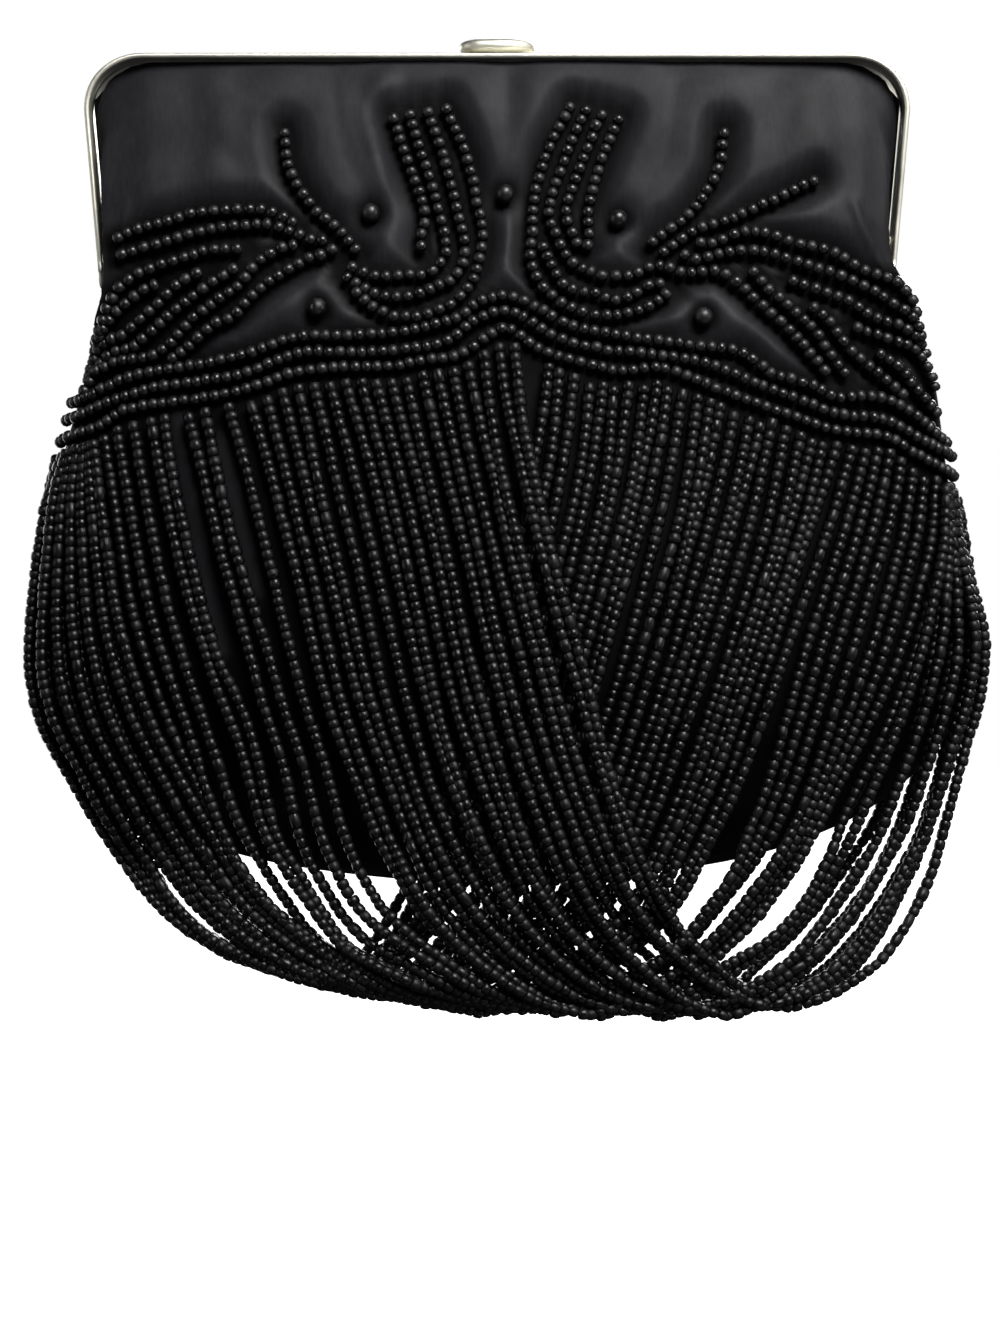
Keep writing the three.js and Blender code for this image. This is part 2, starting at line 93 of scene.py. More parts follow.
# ------------------------------------------------------------------ pouch form
POUCH = np.array([
    # z, half width, front, back, power, shift
    [-2.0, 73.5, 4.6, 4.6, 4.0, 0],
    [-5.0, 77.6, 5.8, 5.6, 5.0, 0],
    [-12, 79.6, 7.8, 7.2, 6.0, 0],
    [-24, 78.4, 10.2, 9.0, 6.0, 0],
    [-33, 77.0, 12.2, 10.6, 5.4, 0],
    [-39, 75.2, 13.6, 11.8, 4.6, 0],
    [-47.2, 75.2, 15.8, 13.3, 3.4, 0.2],
    [-50.5, 79.0, 16.7, 13.9, 3.0, 1.4],
    [-54.4, 81.2, 17.5, 14.5, 2.7, 1.8],
    [-63.4, 84.5, 19.4, 16.0, 2.4, 2.5],
    [-75.4, 87.3, 21.8, 17.8, 2.2, 1.7],
    [-88, 89.7, 23.8, 19.2, 2.1, 1.1],
    [-100, 91.5, 25.0, 20.1, 2.1, 1.5],
    [-112, 92.7, 25.6, 20.6, 2.1, 2.0],
    [-120, 92.8, 25.6, 20.6, 2.1, 2.0],
    [-132, 89.6, 24.4, 19.6, 2.1, 1.9],
    [-142, 83.0, 21.6, 17.4, 2.1, 1.5],
    [-150, 74.0, 17.2, 13.8, 2.1, 0.8],
    [-156, 62.0, 12.6, 10.2, 2.0, 0.4],
    [-160.5, 47.0, 8.8, 7.2, 2.0, 0.2],
    [-163.4, 28.0, 5.0, 4.4, 2.0, 0],
    [-165.0, 12.0, 2.2, 2.1, 2.0, 0],
    [-165.8, 2.0, 0.3, 0.3, 2.0, 0],
])
HALF, FRONT, BACK, POWER, SHIFT = (
    (lambda f: (lambda z: f(-np.asarray(z, float))))(pchip(-POUCH[:, 0], POUCH[:, c])) for c in range(1, 6)
)
# The front swells over the arms of the frame: how far out it reaches at each level, left and right.
EDGE_LEFT = pchip([-60, -58, -54, -51, -48, -42, -36, -20, -8, -4], [80.6, 80.4, 79.8, 79.0, 78.2, 77.8, 78.0, 78.5, 78.4, 77.0])
EDGE_RIGHT = pchip([-60, -58, -54, -51, -48.3, -45, -41, -36, -20, -8, -4], [85.0, 84.6, 83.9, 83.2, 82.2, 80.0, 78.0, 77.5, 77.9, 78.2, 77.0])
SWELL_AT, SWELL_WIDTH = 0.93, 0.075
FRAME = {"half": 79.1, "thick": 1.1, "deep": 7.0, "slit": 0.3, "corner": 12.0, "spread": 0.049, "hinge": -43.5, "ear": 3.2}


def crown(s, n):
    return np.maximum(0.0, 1 - np.abs(s) ** n) ** (1 / n)


def swell(s, z):
    side = np.sign(s)
    reach = np.where(s < 0, EDGE_LEFT(z) + SHIFT(z), EDGE_RIGHT(z) - SHIFT(z))
    more = np.maximum(0.0, reach - SWELL_AT * HALF(z)) * smoothstep(-3, -8, z) * smoothstep(-60, -53, z)
    where = np.exp(-(((np.abs(s) - SWELL_AT) / SWELL_WIDTH) ** 2)) * (np.abs(s) > 0.55)
    ahead = smoothstep(5.6, 8.6, FRONT(z) * crown(s, POWER(z)))     # only in front of the strip
    return side * np.minimum(more * where * ahead, np.maximum(0.0, reach - HALF(z) * np.abs(s)))


def front_at(s, z):
    """Front of the pouch at a place s across, -1 to 1, and level z."""
    s, z = np.asarray(s, float), np.asarray(z, float)
    return np.stack([SHIFT(z) + HALF(z) * s + swell(s, z), -FRONT(z) * crown(s, POWER(z)), z + 0 * s], -1)


def normal_at(s, z):
    s = np.clip(s, -0.9985, 0.9985)
    t = np.arcsin(s)
    e = 0.004
    du = front_at(np.sin(np.clip(t + e, -1.5707, 1.5707)), z) - front_at(np.sin(np.clip(t - e, -1.5707, 1.5707)), z)
    dv = front_at(s, z + 0.4) - front_at(s, z - 0.4)
    n = np.cross(du, dv)
    return n / np.linalg.norm(n, axis=-1, keepdims=True)


def on_satin(px, py, lift):
    """Centres at a distance lift off the front satin that are seen at the given pixels, their normals,
    and how far in pixels the nearest place stays from each pixel (only round the sides is that not 0)."""
    px, py = np.asarray(px, float), np.asarray(py, float)
    x, z = to_world(px, py, -16.0)
    s = np.clip((x - SHIFT(z)) / HALF(z), -0.94, 0.94)
    for _ in range(30):
        most = 0.9985 - 0.05 * smoothstep(-61, -55, z)
        c = front_at(s, z) + normal_at(s, z) * np.asarray(lift)[..., None]
        qx, qy = to_pixel(c)
        s = np.clip(s + 0.6 * (px - qx) * PX / HALF(z), -most, most)
        z = np.clip(z - 0.8 * (py - qy) * PX, -165.0, -2.5)
    n = normal_at(s, z)
    c = front_at(s, z) + n * np.asarray(lift)[..., None]
    qx, qy = to_pixel(c)
    return c, n, np.hypot(px - qx, py - qy)


# ------------------------------------------------------------------ curves
def spline(points, step=2.0):
    """Centripetal Catmull-Rom through the points, sampled about every step."""
    p = np.asarray(points, float)
    p = np.vstack([2 * p[0] - p[1], p, 2 * p[-1] - p[-2]])
    out = []
    for i in range(1, len(p) - 2):
        p0, p1, p2, p3 = p[i - 1], p[i], p[i + 1], p[i + 2]
        t0 = 0.0
        t1 = t0 + max(1e-6, np.linalg.norm(p1 - p0) ** 0.5)
        t2 = t1 + max(1e-6, np.linalg.norm(p2 - p1) ** 0.5)
        t3 = t2 + max(1e-6, np.linalg.norm(p3 - p2) ** 0.5)
        n = max(2, int(np.linalg.norm(p2 - p1) / step))
        t = np.linspace(t1, t2, n, endpoint=False)[:, None]
        a1 = (t1 - t) / (t1 - t0) * p0 + (t - t0) / (t1 - t0) * p1
        a2 = (t2 - t) / (t2 - t1) * p1 + (t - t1) / (t2 - t1) * p2
        a3 = (t3 - t) / (t3 - t2) * p2 + (t - t2) / (t3 - t2) * p3
        b1 = (t2 - t) / (t2 - t0) * a1 + (t - t0) / (t2 - t0) * a2
        b2 = (t3 - t) / (t3 - t1) * a2 + (t - t1) / (t3 - t1) * a3
        out.append((t2 - t) / (t2 - t1) * b1 + (t - t1) / (t2 - t1) * b2)
    out.append(p[-2][None])
    return np.vstack(out)


def walk(path, lengths):
    """Beads of given lengths in a row along a path, as far as it goes: centres, directions, places and lengths."""
    seg = np.linalg.norm(np.diff(path, axis=0), axis=1)
    s = np.concatenate([[0], np.cumsum(seg)])
    at = np.cumsum(lengths) - lengths / 2
    lengths = lengths[at < s[-1] - lengths * 0.3]
    at = at[: len(lengths)]
    c = np.stack([np.interp(at, s, path[:, k]) for k in range(3)], -1)
    a = np.stack([np.interp(at + 0.6, s, path[:, k]) for k in range(3)], -1)
    b = np.stack([np.interp(at - 0.6, s, path[:, k]) for k in range(3)], -1)
    d = a - b
    return c, d / np.maximum(1e-9, np.linalg.norm(d, axis=1, keepdims=True)), at, lengths


# ------------------------------------------------------------------ beads
# Half sections of the beads as place along the hole and radius: round ones sewn to the satin, fuller ones in the fringe.
ROUND = [(-0.97, 0.46), (-0.68, 0.84), (0.0, 1.0), (0.68, 0.84), (0.97, 0.46)]
FULL = [(-0.99, 0.66), (-0.72, 0.92), (0.0, 1.0), (0.72, 0.92), (0.99, 0.66)]


def bead_form(rings, sides):
    a = np.linspace(0, 2 * np.pi, sides, endpoint=False)
    v = np.array([[u, r * math.cos(t), r * math.sin(t)] for u, r in rings for t in a])
    f = []
    for i in range(len(rings) - 1):
        for k in range(sides):
            j = (k + 1) % sides
            p, q, r, s = i * sides + k, i * sides + j, (i + 1) * sides + j, (i + 1) * sides + k
            f += [(p, r, q), (p, s, r)]
    for k in range(1, sides - 1):
        f.append((0, k, k + 1))
        e = (len(rings) - 1) * sides
        f.append((e, e + k + 1, e + k))
    return v, np.array(f)


COUCHED, HANGING = bead_form(ROUND, 10), bead_form(FULL, 8)


def new_mesh(name, verts, faces, smooth=True):
    """A mesh object from arrays; faces are all triangles or all quads."""
    me = bpy.data.meshes.new(name)
    verts, faces = np.asarray(verts, np.float32), np.asarray(faces, np.int32)
    k = faces.shape[1]
    me.vertices.add(len(verts))
    me.vertices.foreach_set("co", verts.ravel())
    me.loops.add(faces.size)
    me.loops.foreach_set("vertex_index", faces.ravel())
    me.polygons.add(len(faces))
    me.polygons.foreach_set("loop_start", np.arange(0, faces.size, k, dtype=np.int32))
    me.polygons.foreach_set("loop_total", np.full(len(faces), k, np.int32))
    me.polygons.foreach_set("use_smooth", np.full(len(faces), smooth, bool))
    me.update(calc_edges=True)
    me.validate()
    ob = bpy.data.objects.new(name, me)
    bpy.context.scene.collection.objects.link(ob)
    return ob


def bead_mesh(name, centres, along, out, half, radius, form=COUCHED):
    """One mesh of many beads: centres, hole directions, a side direction, half lengths and radii in mm."""
    form_v, form_f = form
    t = along / np.linalg.norm(along, axis=1, keepdims=True)
    n = out - (out * t).sum(1, keepdims=True) * t
    n /= np.maximum(1e-9, np.linalg.norm(n, axis=1, keepdims=True))
    b = np.cross(t, n)
    v = (centres[:, None, :]
         + t[:, None, :] * (form_v[None, :, 0:1] * half[:, None, None])
         + n[:, None, :] * (form_v[None, :, 1:2] * radius[:, None, None])
         + b[:, None, :] * (form_v[None, :, 2:3] * radius[:, None, None]))
    f = form_f[None] + (np.arange(len(centres)) * len(form_v))[:, None, None]
    return new_mesh(name, v.reshape(-1, 3) * MM, f.reshape(-1, 3))


def pitches(n, pitch, spread):
    return pitch * (1 + np.clip(RNG.normal(0, spread, n), -2.2 * spread, 2.2 * spread))


# ------------------------------------------------------------------ bead strings of the front, by pixel
BAND_R = 1.27
BAND_PITCH = 2.12
SWIRL_PITCH = 2.27
BAND = [
    ["band_row_1", (70, 404), (90, 395), (128, 378), (169, 369), (212, 362), (255, 351), (284, 340), (305, 336), (358, 335), (399, 332),
     (436, 324), (461, 316), (474, 304), (492, 297), (508, 296), (535, 306), (566, 324), (608, 334), (651, 339), (700, 346), (742, 352),
     (770, 372), (814, 386), (836, 397), (878, 397), (912, 413), (940, 437), (949, 446)],
    ["band_row_2", (63, 422), (82, 414), (109, 402), (149, 389), (200, 381), (245, 373), (283, 358), (304, 352), (369, 352), (412, 348),
     (451, 339), (474, 321), (503, 311), (525, 318), (548, 333), (589, 347), (647, 354), (700, 361), (744, 378), (790, 396), (839, 414),
     (885, 420), (928, 443), (952, 456), (958, 463)],
    ["band_row_3", (59, 443), (72, 436), (100, 426), (122, 411), (164, 403), (213, 396), (257, 386), (293, 373), (344, 367), (388, 367),
     (428, 360), (457, 355), (476, 344), (505, 328), (523, 338), (540, 350), (580, 362), (620, 371), (663, 368), (706, 384), (747, 400),
     (795, 417), (838, 431), (884, 436), (913, 452), (945, 470), (961, 482)],
]
SWIRLS = [
    ["swirl_left_1", (113, 241), (135, 230), (165, 222), (195, 213), (230, 210), (262, 210), (282, 216), (298, 225)],
    ["swirl_left_2", (116, 258), (129, 252), (161, 243), (197, 232), (232, 227), (270, 225), (292, 232), (314, 241), (330, 239)],
    ["swirl_left_3", (94, 346), (101, 326), (107, 308), (116, 292), (132, 277), (154, 267), (186, 257), (209, 250), (232, 249), (247, 247)],
    ["swirl_left_4", (91, 368), (96, 348), (102, 331), (111, 317), (126, 304), (144, 290), (158, 283)],
    ["swirl_left_5", (87, 386), (91, 370), (97, 353), (108, 341), (124, 333), (144, 316), (161, 300), (176, 285), (197, 274), (212, 269)],
    ["swirl_left_6", (82, 397), (88, 384), (97, 367), (112, 353), (132, 347), (151, 332), (175, 310), (201, 290), (218, 278), (240, 266)],
    ["swirl_left_7", (86, 378), (110, 364), (126, 360), (151, 356), (168, 345), (191, 320), (223, 296), (241, 283), (255, 265), (281, 248), (300, 245)],
    ["swirl_left_8", (168, 362), (188, 347), (212, 325), (231, 317), (254, 293), (281, 273), (308, 259), (330, 251), (344, 240)],
    ["swirl_left_9", (284, 128), (290, 170), (317, 212), (331, 222), (346, 238), (358, 253)],
    ["swirl_left_10", (444, 104), (466, 155), (478, 205), (483, 235), (479, 261), (471, 283), (447, 306), (404, 317), (371, 306), (350, 285)],
    ["swirl_left_11", (426, 107), (444, 158), (458, 213), (465, 248), (457, 274), (433, 288), (398, 297), (364, 288), (340, 272)],
    ["swirl_left_12", (408, 110), (424, 160), (440, 215), (446, 250), (432, 271), (402, 275), (378, 276), (340, 263)],
    ["swirl_left_13", (392, 114), (408, 162), (425, 213), (421, 240), (422, 254)],
    ["swirl_right_1", (694, 242), (713, 243), (743, 232), (765, 233), (799, 244), (833, 252), (868, 272), (891, 279), (906, 290), (914, 304), (917, 318)],
    ["swirl_right_2", (680, 252), (696, 259), (718, 255), (748, 250), (780, 256), (821, 269), (863, 285), (893, 303), (910, 314), (919, 328), (922, 342)],
    ["swirl_right_3", (787, 279), (819, 290), (848, 300), (876, 318), (904, 327), (917, 338), (925, 352), (928, 366)],
    ["swirl_right_4", (852, 326), (874, 334), (895, 341), (912, 347), (923, 360), (931, 376), (936, 390)],
    ["swirl_right_5", (875, 352), (896, 364), (912, 383), (928, 403), (940, 416)],
    ["swirl_right_6", (810, 304), (830, 323), (844, 343), (868, 365), (895, 387), (906, 398)],
    ["swirl_right_7", (750, 268), (766, 287), (789, 306), (814, 330), (834, 360), (851, 380)],
    ["swirl_right_8", (588, 106), (565, 158), (549, 214), (556, 233), (569, 259), (599, 275), (632, 275), (655, 265), (687, 273), (719, 271),
     (738, 284), (762, 305), (792, 332), (807, 349), (830, 377)],
    ["swirl_right_9", (724, 128), (718, 170), (688, 215), (670, 229), (654, 240), (646, 250)],
    ["swirl_right_10", (818, 178), (780, 196), (743, 213), (722, 222), (701, 227), (682, 239), (660, 255)],
    ["swirl_right_11", (572, 103), (546, 155), (534, 205), (532, 239), (531, 263), (545, 290), (579, 311), (611, 316), (646, 307), (676, 287)],
    ["swirl_right_12", (541, 242), (552, 265), (565, 286), (596, 293), (618, 300), (648, 286), (664, 282)],
    ["swirl_right_13", (604, 110), (582, 162), (566, 215), (574, 236), (580, 250)],
    ["swirl_right_14", (620, 115), (600, 164), (588, 214), (589, 241), (584, 252)],
]
ACCENT_R = 1.9
ACCENTS = [
    # seen at x, y
    ["accent_bead_1", 371, 215],
    ["accent_bead_2", 618, 221],
    ["accent_bead_3", 318, 309],
    ["accent_bead_4", 703, 318],
    ["accent_bead_5", 505, 196],
]


def string_beads(points, radius, pitch, fill=1.0, spread=0.07):
    line = spline(points)
    c, n, miss = on_satin(line[:, 0], line[:, 1], np.full(len(line), radius))
    kept = np.flatnonzero(miss < 4.0)       # a string ends where it would leave the satin
    c, n = c[kept[0]: kept[-1] + 1], n[kept[0]: kept[-1] + 1]
    where, along, at, long = walk(c, pitches(400, pitch, spread))
    seg = np.concatenate([[0], np.cumsum(np.linalg.norm(np.diff(c, axis=0), axis=1))])
    nn = np.stack([np.interp(at, seg, n[:, k]) for k in range(3)], -1)
    k = len(where)
    where = where + RNG.normal(0, 0.07, (k, 3))
    along = along + RNG.normal(0, 0.08, (k, 3))
    half = 0.5 * fill * long
    rad = radius * (1 + np.clip(RNG.normal(0, 0.045, k), -0.1, 0.1))
    return where, along, nn, half, rad, c


# ------------------------------------------------------------------ fringe loops, by pixel
LOOPS = 44
# Place of each loop in the tables below; on the right most strands draw together in pairs as they hang.
LEFT_PLACE = np.concatenate([np.linspace(0, 7.6, 18), [8.5, 9.2, 10.07, 11.1, 11.9, 12.8, 13.9, 15.1], np.linspace(16.4, 31, 18)])
PAIRED = 24
RIGHT_PLACE = np.concatenate([
    np.linspace(0, 17.6, PAIRED) + np.tile([0.06, -0.1, -0.04, 0.1], PAIRED // 4),
    np.linspace(18.5, 31, LOOPS - PAIRED),
])
DOWN = np.array([0, 0.1, 0.2, 0.3, 0.4, 0.5, 0.6, 0.7, 0.8, 0.88, 0.94, 0.98, 1.0])   # share of the drop
LEFT_LEGS = {
    # place: pixels across at each share of the drop
    0: [64, 46, 38, 32, 29, 38, 65, 94, 130, 165, 213, 268, 330],
    8: [95, 103, 112, 121, 137, 158, 187, 218, 250, 285, 325, 368, 425],
    13: [188, 203, 217, 234, 251, 268, 291, 314, 341, 368, 398, 435, 485],
    22: [353, 371, 387, 402, 415, 429, 448, 470, 498, 529, 563, 600, 640],
    31: [514, 523, 537, 552, 568, 587, 604, 626, 651, 681, 719, 752, 790],
}
RIGHT_LEGS = {
    0: [548, 543, 533, 520, 505, 489, 470, 449, 425, 402, 378, 355, 330],
    8: [690, 681, 669, 653, 636, 618, 598, 576, 551, 525, 496, 465, 425],
    18: [858, 842, 824, 805, 786, 766, 746, 722, 697, 668, 638, 608, 572],
    23: [946, 944, 932, 918, 902, 883, 860, 834, 799, 760, 722, 690, 655],
    31: [952, 960, 975, 987, 982, 966, 952, 937, 919, 892, 854, 822, 790],
}
LOWEST = pchip([0, 8, 13, 18, 26, 31], [981, 1001, 1009, 1013, 1014, 1009])
LOWEST_X = pchip([0, 8, 13, 18, 23, 31], [330, 425, 485, 572, 655, 790])
FRINGE_R = 1.16
FRINGE_PITCH = 1.88
OVER = 4.6      # how far the left legs lie over the right ones where they cross
# Open places between the hanging strands: level, middle and width, down each slit.
LEFT_SLITS = [
    [(410, 178, 2), (440, 181, 6), (480, 188, 11), (540, 198, 10), (600, 209, 6), (650, 220, 2)],
    [(440, 221, 1), (500, 235, 4), (550, 247, 4), (590, 258, 1)],
    [(884, 168, 2), (897, 175, 7), (915, 192, 7), (936, 214, 6), (942, 221, 2)],
    [(838, 232, 2), (845, 238, 7), (865, 250, 10), (885, 263, 9), (905, 278, 11), (914, 286, 3)],
    [(848, 263, 3), (860, 270, 7), (880, 283, 6), (905, 300, 8), (920, 310, 10), (936, 321, 11), (944, 328, 3)],
    [(868, 303, 2), (880, 312, 4), (905, 325, 6), (918, 334, 6), (928, 339, 2)],
    [(862, 319, 2), (885, 332, 7), (905, 345, 4), (918, 352, 2)],
    [(864, 345, 3), (880, 354, 9), (905, 366, 8), (914, 371, 3)],
    [(862, 368, 6), (880, 379, 16), (896, 384, 9), (902, 388, 3)],
]
RIGHT_SLITS = [
    [(852, 731, 8), (860, 728, 18), (880, 718, 11), (900, 704, 12), (920, 690, 8), (928, 685, 3)],
    [(832, 783, 4), (845, 776, 10), (870, 760, 10), (890, 743, 11), (910, 728, 12), (930, 711, 12), (942, 700, 8), (950, 693, 3)],
    [(826, 828, 6), (840, 824, 17), (870, 808, 18), (900, 789, 26), (930, 765, 23), (942, 752, 26), (955, 731, 16), (964, 720, 5)],
    [(890, 836, 3), (920, 815, 7), (940, 800, 9), (955, 782, 20), (970, 765, 15), (978, 756, 4)],
    [(842, 884, 3), (860, 875, 7), (880, 864, 5), (900, 850, 8), (912, 840, 4)],
    [(828, 914, 3), (845, 905, 9), (870, 891, 6), (900, 874, 8), (930, 853, 5), (945, 840, 10), (956, 829, 5)],
    [(824, 938, 3), (845, 931, 6), (870, 923, 10), (900, 908, 12), (930, 893, 10), (950, 878, 10), (964, 868, 9), (974, 855, 3)],
]


def crowd(i, left):
    """Rank of a strand in the crowd round the left or right seam, or None."""
    if left:
        return i if LEFT_PLACE[i] < 8 else None
    return LOOPS - 1 - i if RIGHT_PLACE[i] > 23 else None


# Lanes between the slits, from left to right: slit on the left, slit on the right, strands in the lane.
LEFT_LANES = [(None, 3, 20), (3, 4, 1), (4, 5, 2), (5, 6, 1), (6, 7, 1), (7, 8, 1)]
RIGHT_LANES = [(0, 1, 3), (1, 2, 4), (2, 3, 3), (3, 4, 2), (4, 5, 3), (5, 6, 4), (6, None, 1)]


def slit_edge(slit, y, side):
    """Left (-1) or right (1) edge of a slit at some levels, carried on straight past its ends."""
    s = np.array(slit, float)
    mid = np.interp(y, s[:, 0], s[:, 1])
    for a, b in ((0, 1), (-1, -2)):
        past = y < s[0, 0] if a == 0 else y > s[-1, 0]
        mid = np.where(past, s[a, 1] + (s[b, 1] - s[a, 1]) / (s[b, 0] - s[a, 0]) * (y - s[a, 0]), mid)
    return mid + side * np.interp(y, s[:, 0], s[:, 2]) / 2


def lane_of(i, left):
    first = 0 if left else PAIRED
    for a, b, count in LEFT_LANES if left else RIGHT_LANES:
        if first <= i < first + count:
            return a, b, i - first, count
        first += count
    return None


def in_lane(x, y, i, left):
    """Leads a strand down its lane between two slits."""
    lane = lane_of(i, left)
    if lane is None:
        return x
    a, b, j, count = lane
    slits = LEFT_SLITS if left else RIGHT_SLITS
    ends = [slits[k] for k in (a, b) if k is not None]
    y0, y1 = min(s[0][0] for s in ends), max(s[-1][0] for s in ends)
    if a is None:
        goal = np.minimum(x, slit_edge(slits[b], y, -1) - 5.7 - 2.4 * (count - 1 - j))
    elif b is None:
        goal = np.maximum(x, slit_edge(slits[a], y, 1) + 5.7)
    else:
        low, high = slit_edge(slits[a], y, 1) + 5.7, slit_edge(slits[b], y, -1) - 5.7
        low, high = np.minimum(low, 0.5 * (low + high)), np.maximum(high, 0.5 * (low + high))
        goal = low + (high - low) * (j / (count - 1) if count > 1 else 0.5)
    here = (y >= y0) & (y <= y1)
    shift = np.interp(y, y[here], (goal - x)[here])
    above = 130 if left else 210
    return x + shift * (1 - smoothstep(0, above, y0 - y)) * (1 - smoothstep(0, 60, y - y1))


def leg_table(table, place):
    keys = sorted(table)
    return np.array([np.interp(place, keys, [table[k][j] for k in keys]) for j in range(len(DOWN))])


def band_edge(x):
    row = np.array(BAND[2][1:], float)
    return np.interp(x, row[:, 0], row[:, 1])


def sway(amount, phases, v):
    return amount * (np.sin(2.2 * np.pi * v + phases[0]) * 0.6 + np.sin(5.3 * np.pi * v + phases[1]) * 0.4)


def keep_out(x, y, slits, side=None, near=20.0):
    """Moves a strand aside where it would hang across a slit, and those near it a little."""
    for s in slits:
        s = np.array(s, float)
        mid = np.interp(y, s[:, 0], s[:, 1])
        need = np.interp(y, s[:, 0], s[:, 2]) / 2 + 5.6
        ease = 14 + 0.3 * (s[-1, 0] - s[0, 0])
        fade = smoothstep(s[0, 0] - ease, s[0, 0] + 0.4 * ease, y) * (1 - smoothstep(s[-1, 0] - 0.4 * ease, s[-1, 0] + ease, y))
        to = side or (1.0 if np.average(x - mid, weights=fade + 1e-9) > 0 else -1.0)
        off = to * (x - mid)
        back = np.maximum(-off, 0.0)
        x = x + to * fade * (back + need * np.exp(-np.maximum(off, 0.0) / near)) * (1 - smoothstep(8, 26, back))
    return x


def soften(a, times):
    a = a.copy()
    for _ in range(times):
        a[1:-1] = 0.5 * a[1:-1] + 0.25 * (a[:-2] + a[2:])
    return a


def leg_pixels(i, left):
    """One leg of a loop as pixels from its top to its lowest place."""
    place = LEFT_PLACE[i] if left else RIGHT_PLACE[i]
    foot = 0.5 * (LEFT_PLACE[i] + RIGHT_PLACE[i])
    xs = leg_table(LEFT_LEGS if left else RIGHT_LEGS, place)
    xs[-1] = LOWEST_X(place)
    top = band_edge(xs[0]) + 11.5 + RNG.uniform(-1.0, 2.5)
    low = float(LOWEST(foot)) + LOW_JITTER[i]
    v = np.concatenate([np.linspace(0, 0.9, 90, endpoint=False), 0.9 + 0.1 * np.sin(np.linspace(0, np.pi / 2, 30))])
    x = pchip(DOWN, xs)(v) + (LOWEST_X(foot) - LOWEST_X(place)) * smoothstep(0.78, 1.0, v)
    loose = 1.0 if crowd(i, left) is None and lane_of(i, left) is None else 0.3
    amount = 0.7 + 2.0 * smoothstep(0.15, 0.75, v) - 1.5 * smoothstep(0.9, 1.0, v)
    x = x + loose * sway(amount, RNG.uniform(0, 6.28, 2), v) * smoothstep(0, 0.08, v)
    x = x + loose * np.clip(RNG.normal(0, 2.4), -5, 5) * smoothstep(0, 0.2, v) * (1 - smoothstep(0.85, 1.0, v))
    if not left and i < PAIRED:
        x = x + (2.4 if i % 2 == 0 else -2.4) * smoothstep(0.12, 0.5, v) * (1 - smoothstep(0.8, 0.95, v))
    y = top + (low - top) * v
    if left:
        x = keep_out(x, y, LEFT_SLITS[:2])
    if lane_of(i, left):
        x = in_lane(x, y, i, left)
        if left and i < LEFT_LANES[0][2]:
            x = keep_out(x, y, LEFT_SLITS[2:3], -1.0 if i < 6 else 1.0, 6.0)
    else:
        x = keep_out(x, y, LEFT_SLITS[8:] if left else RIGHT_SLITS[:1])
    return soften(x, 4), y, v


def fringe_path(i):
    """Loop i as a line in space: down its left leg over the others, and up its right leg under them."""
    first_right = pchip(DOWN, leg_table(RIGHT_LEGS, 0))
    ends = []
    for left in (True, False):
        x, y, v = leg_pixels(i, left)
        lift = np.full(len(v), FRINGE_R + 0.12) + 0.55 * (1 - smoothstep(0.5, 0.8, v))
        rank = crowd(i, left)
        behind = rank is not None and rank % 3 == 1
        if rank is not None and rank % 3 == 2:      # round the seams the strands lie in two layers
            lift = lift + 1.9 * FRINGE_R * (1 - smoothstep(0.35, 0.7, v))
        if not left and i < PAIRED and i % 2:       # the front strand of a pair
            lift = lift + 1.5 * smoothstep(0.12, 0.5, v)
        start = 0
        if behind:                                  # a third is sewn down the seam and hangs behind it
            start = 1 + 4 * (rank // 3)
            z = EYE_Z - (y - 666.5) * PX
            seam = 500.0 + (SHIFT(z) + (-1 if left else 1) * (HALF(z) + FRINGE_R) - EYE_X) / PX
            x = x + (seam - x) * (1 - smoothstep(v[start], v[start] + 0.22, v))
        c, n, miss = on_satin(x, y, lift)
        if behind:
            c[:, 1] = (0.8 - 0.8 * c[:, 1]) * smoothstep(v[start] - 0.005, v[start] + 0.07, v)
        free = (c[:, 2] < -150.0) | (miss > 14.0)
        k = int(np.argmax(free)) if free.any() else len(v)
        k = max(4, min(k, len(v) - 8))
        depth = (np.maximum if behind else np.minimum).accumulate(c[:, 1])
        depth[k:] = depth[k - 1]
        ends.append((c, k, depth, x, y, v, rank, start))
    foot = 0.5 * (ends[0][2][-1] + ends[1][2][-1])
    legs = []
    for (c, k, depth, x, y, v, rank, start), left in zip(ends, (True, False)):
        over = np.zeros(len(v))
        if left:
            vv = np.clip((y - 362.0) / (985.0 - 362.0), 0, 1)
            over = OVER * smoothstep(-44, 2, x - first_right(vv))
        layer = (i * 2) % 3 - 1 if left else (i * 5 + 1) % 3 - 1
        if rank is not None:
            layer = 1.3 * (rank % 3 - 1)
        elif lane_of(i, left):
            layer = 1.2 * (i % 3 - 1)
        hang = smoothstep(v[k - 1], v[k - 1] + 0.12, v) * (1 - 0.7 * smoothstep(0.9, 1.0, v))
        depth = depth + (foot - depth) * smoothstep(0.74, 1.0, v)
        depth = depth - over * (1 - 0.75 * smoothstep(0.95, 1.0, v)) + (0.9 if left else 1.15) * layer * hang
        wx, wz = to_world(x, y, depth)
        p = np.stack([wx, depth, wz], -1)
        rest = (np.arange(len(v)) < k) & (np.abs(depth - c[:, 1]) < 1e-6) & (rank is None or rank % 3 != 1)
        p[rest] = c[rest]
        legs.append(p[start:])
    return soften(np.vstack([legs[0], legs[1][::-1][1:]]), 5)


LOW_JITTER = RNG.uniform(-7, 4, LOOPS)

# ------------------------------------------------------------------ materials
def nodes_of(name):
    m = bpy.data.materials.new(name)
    m.use_nodes = True
    nt = m.node_tree
    bsdf = nt.nodes["Principled BSDF"]
    return m, nt, bsdf


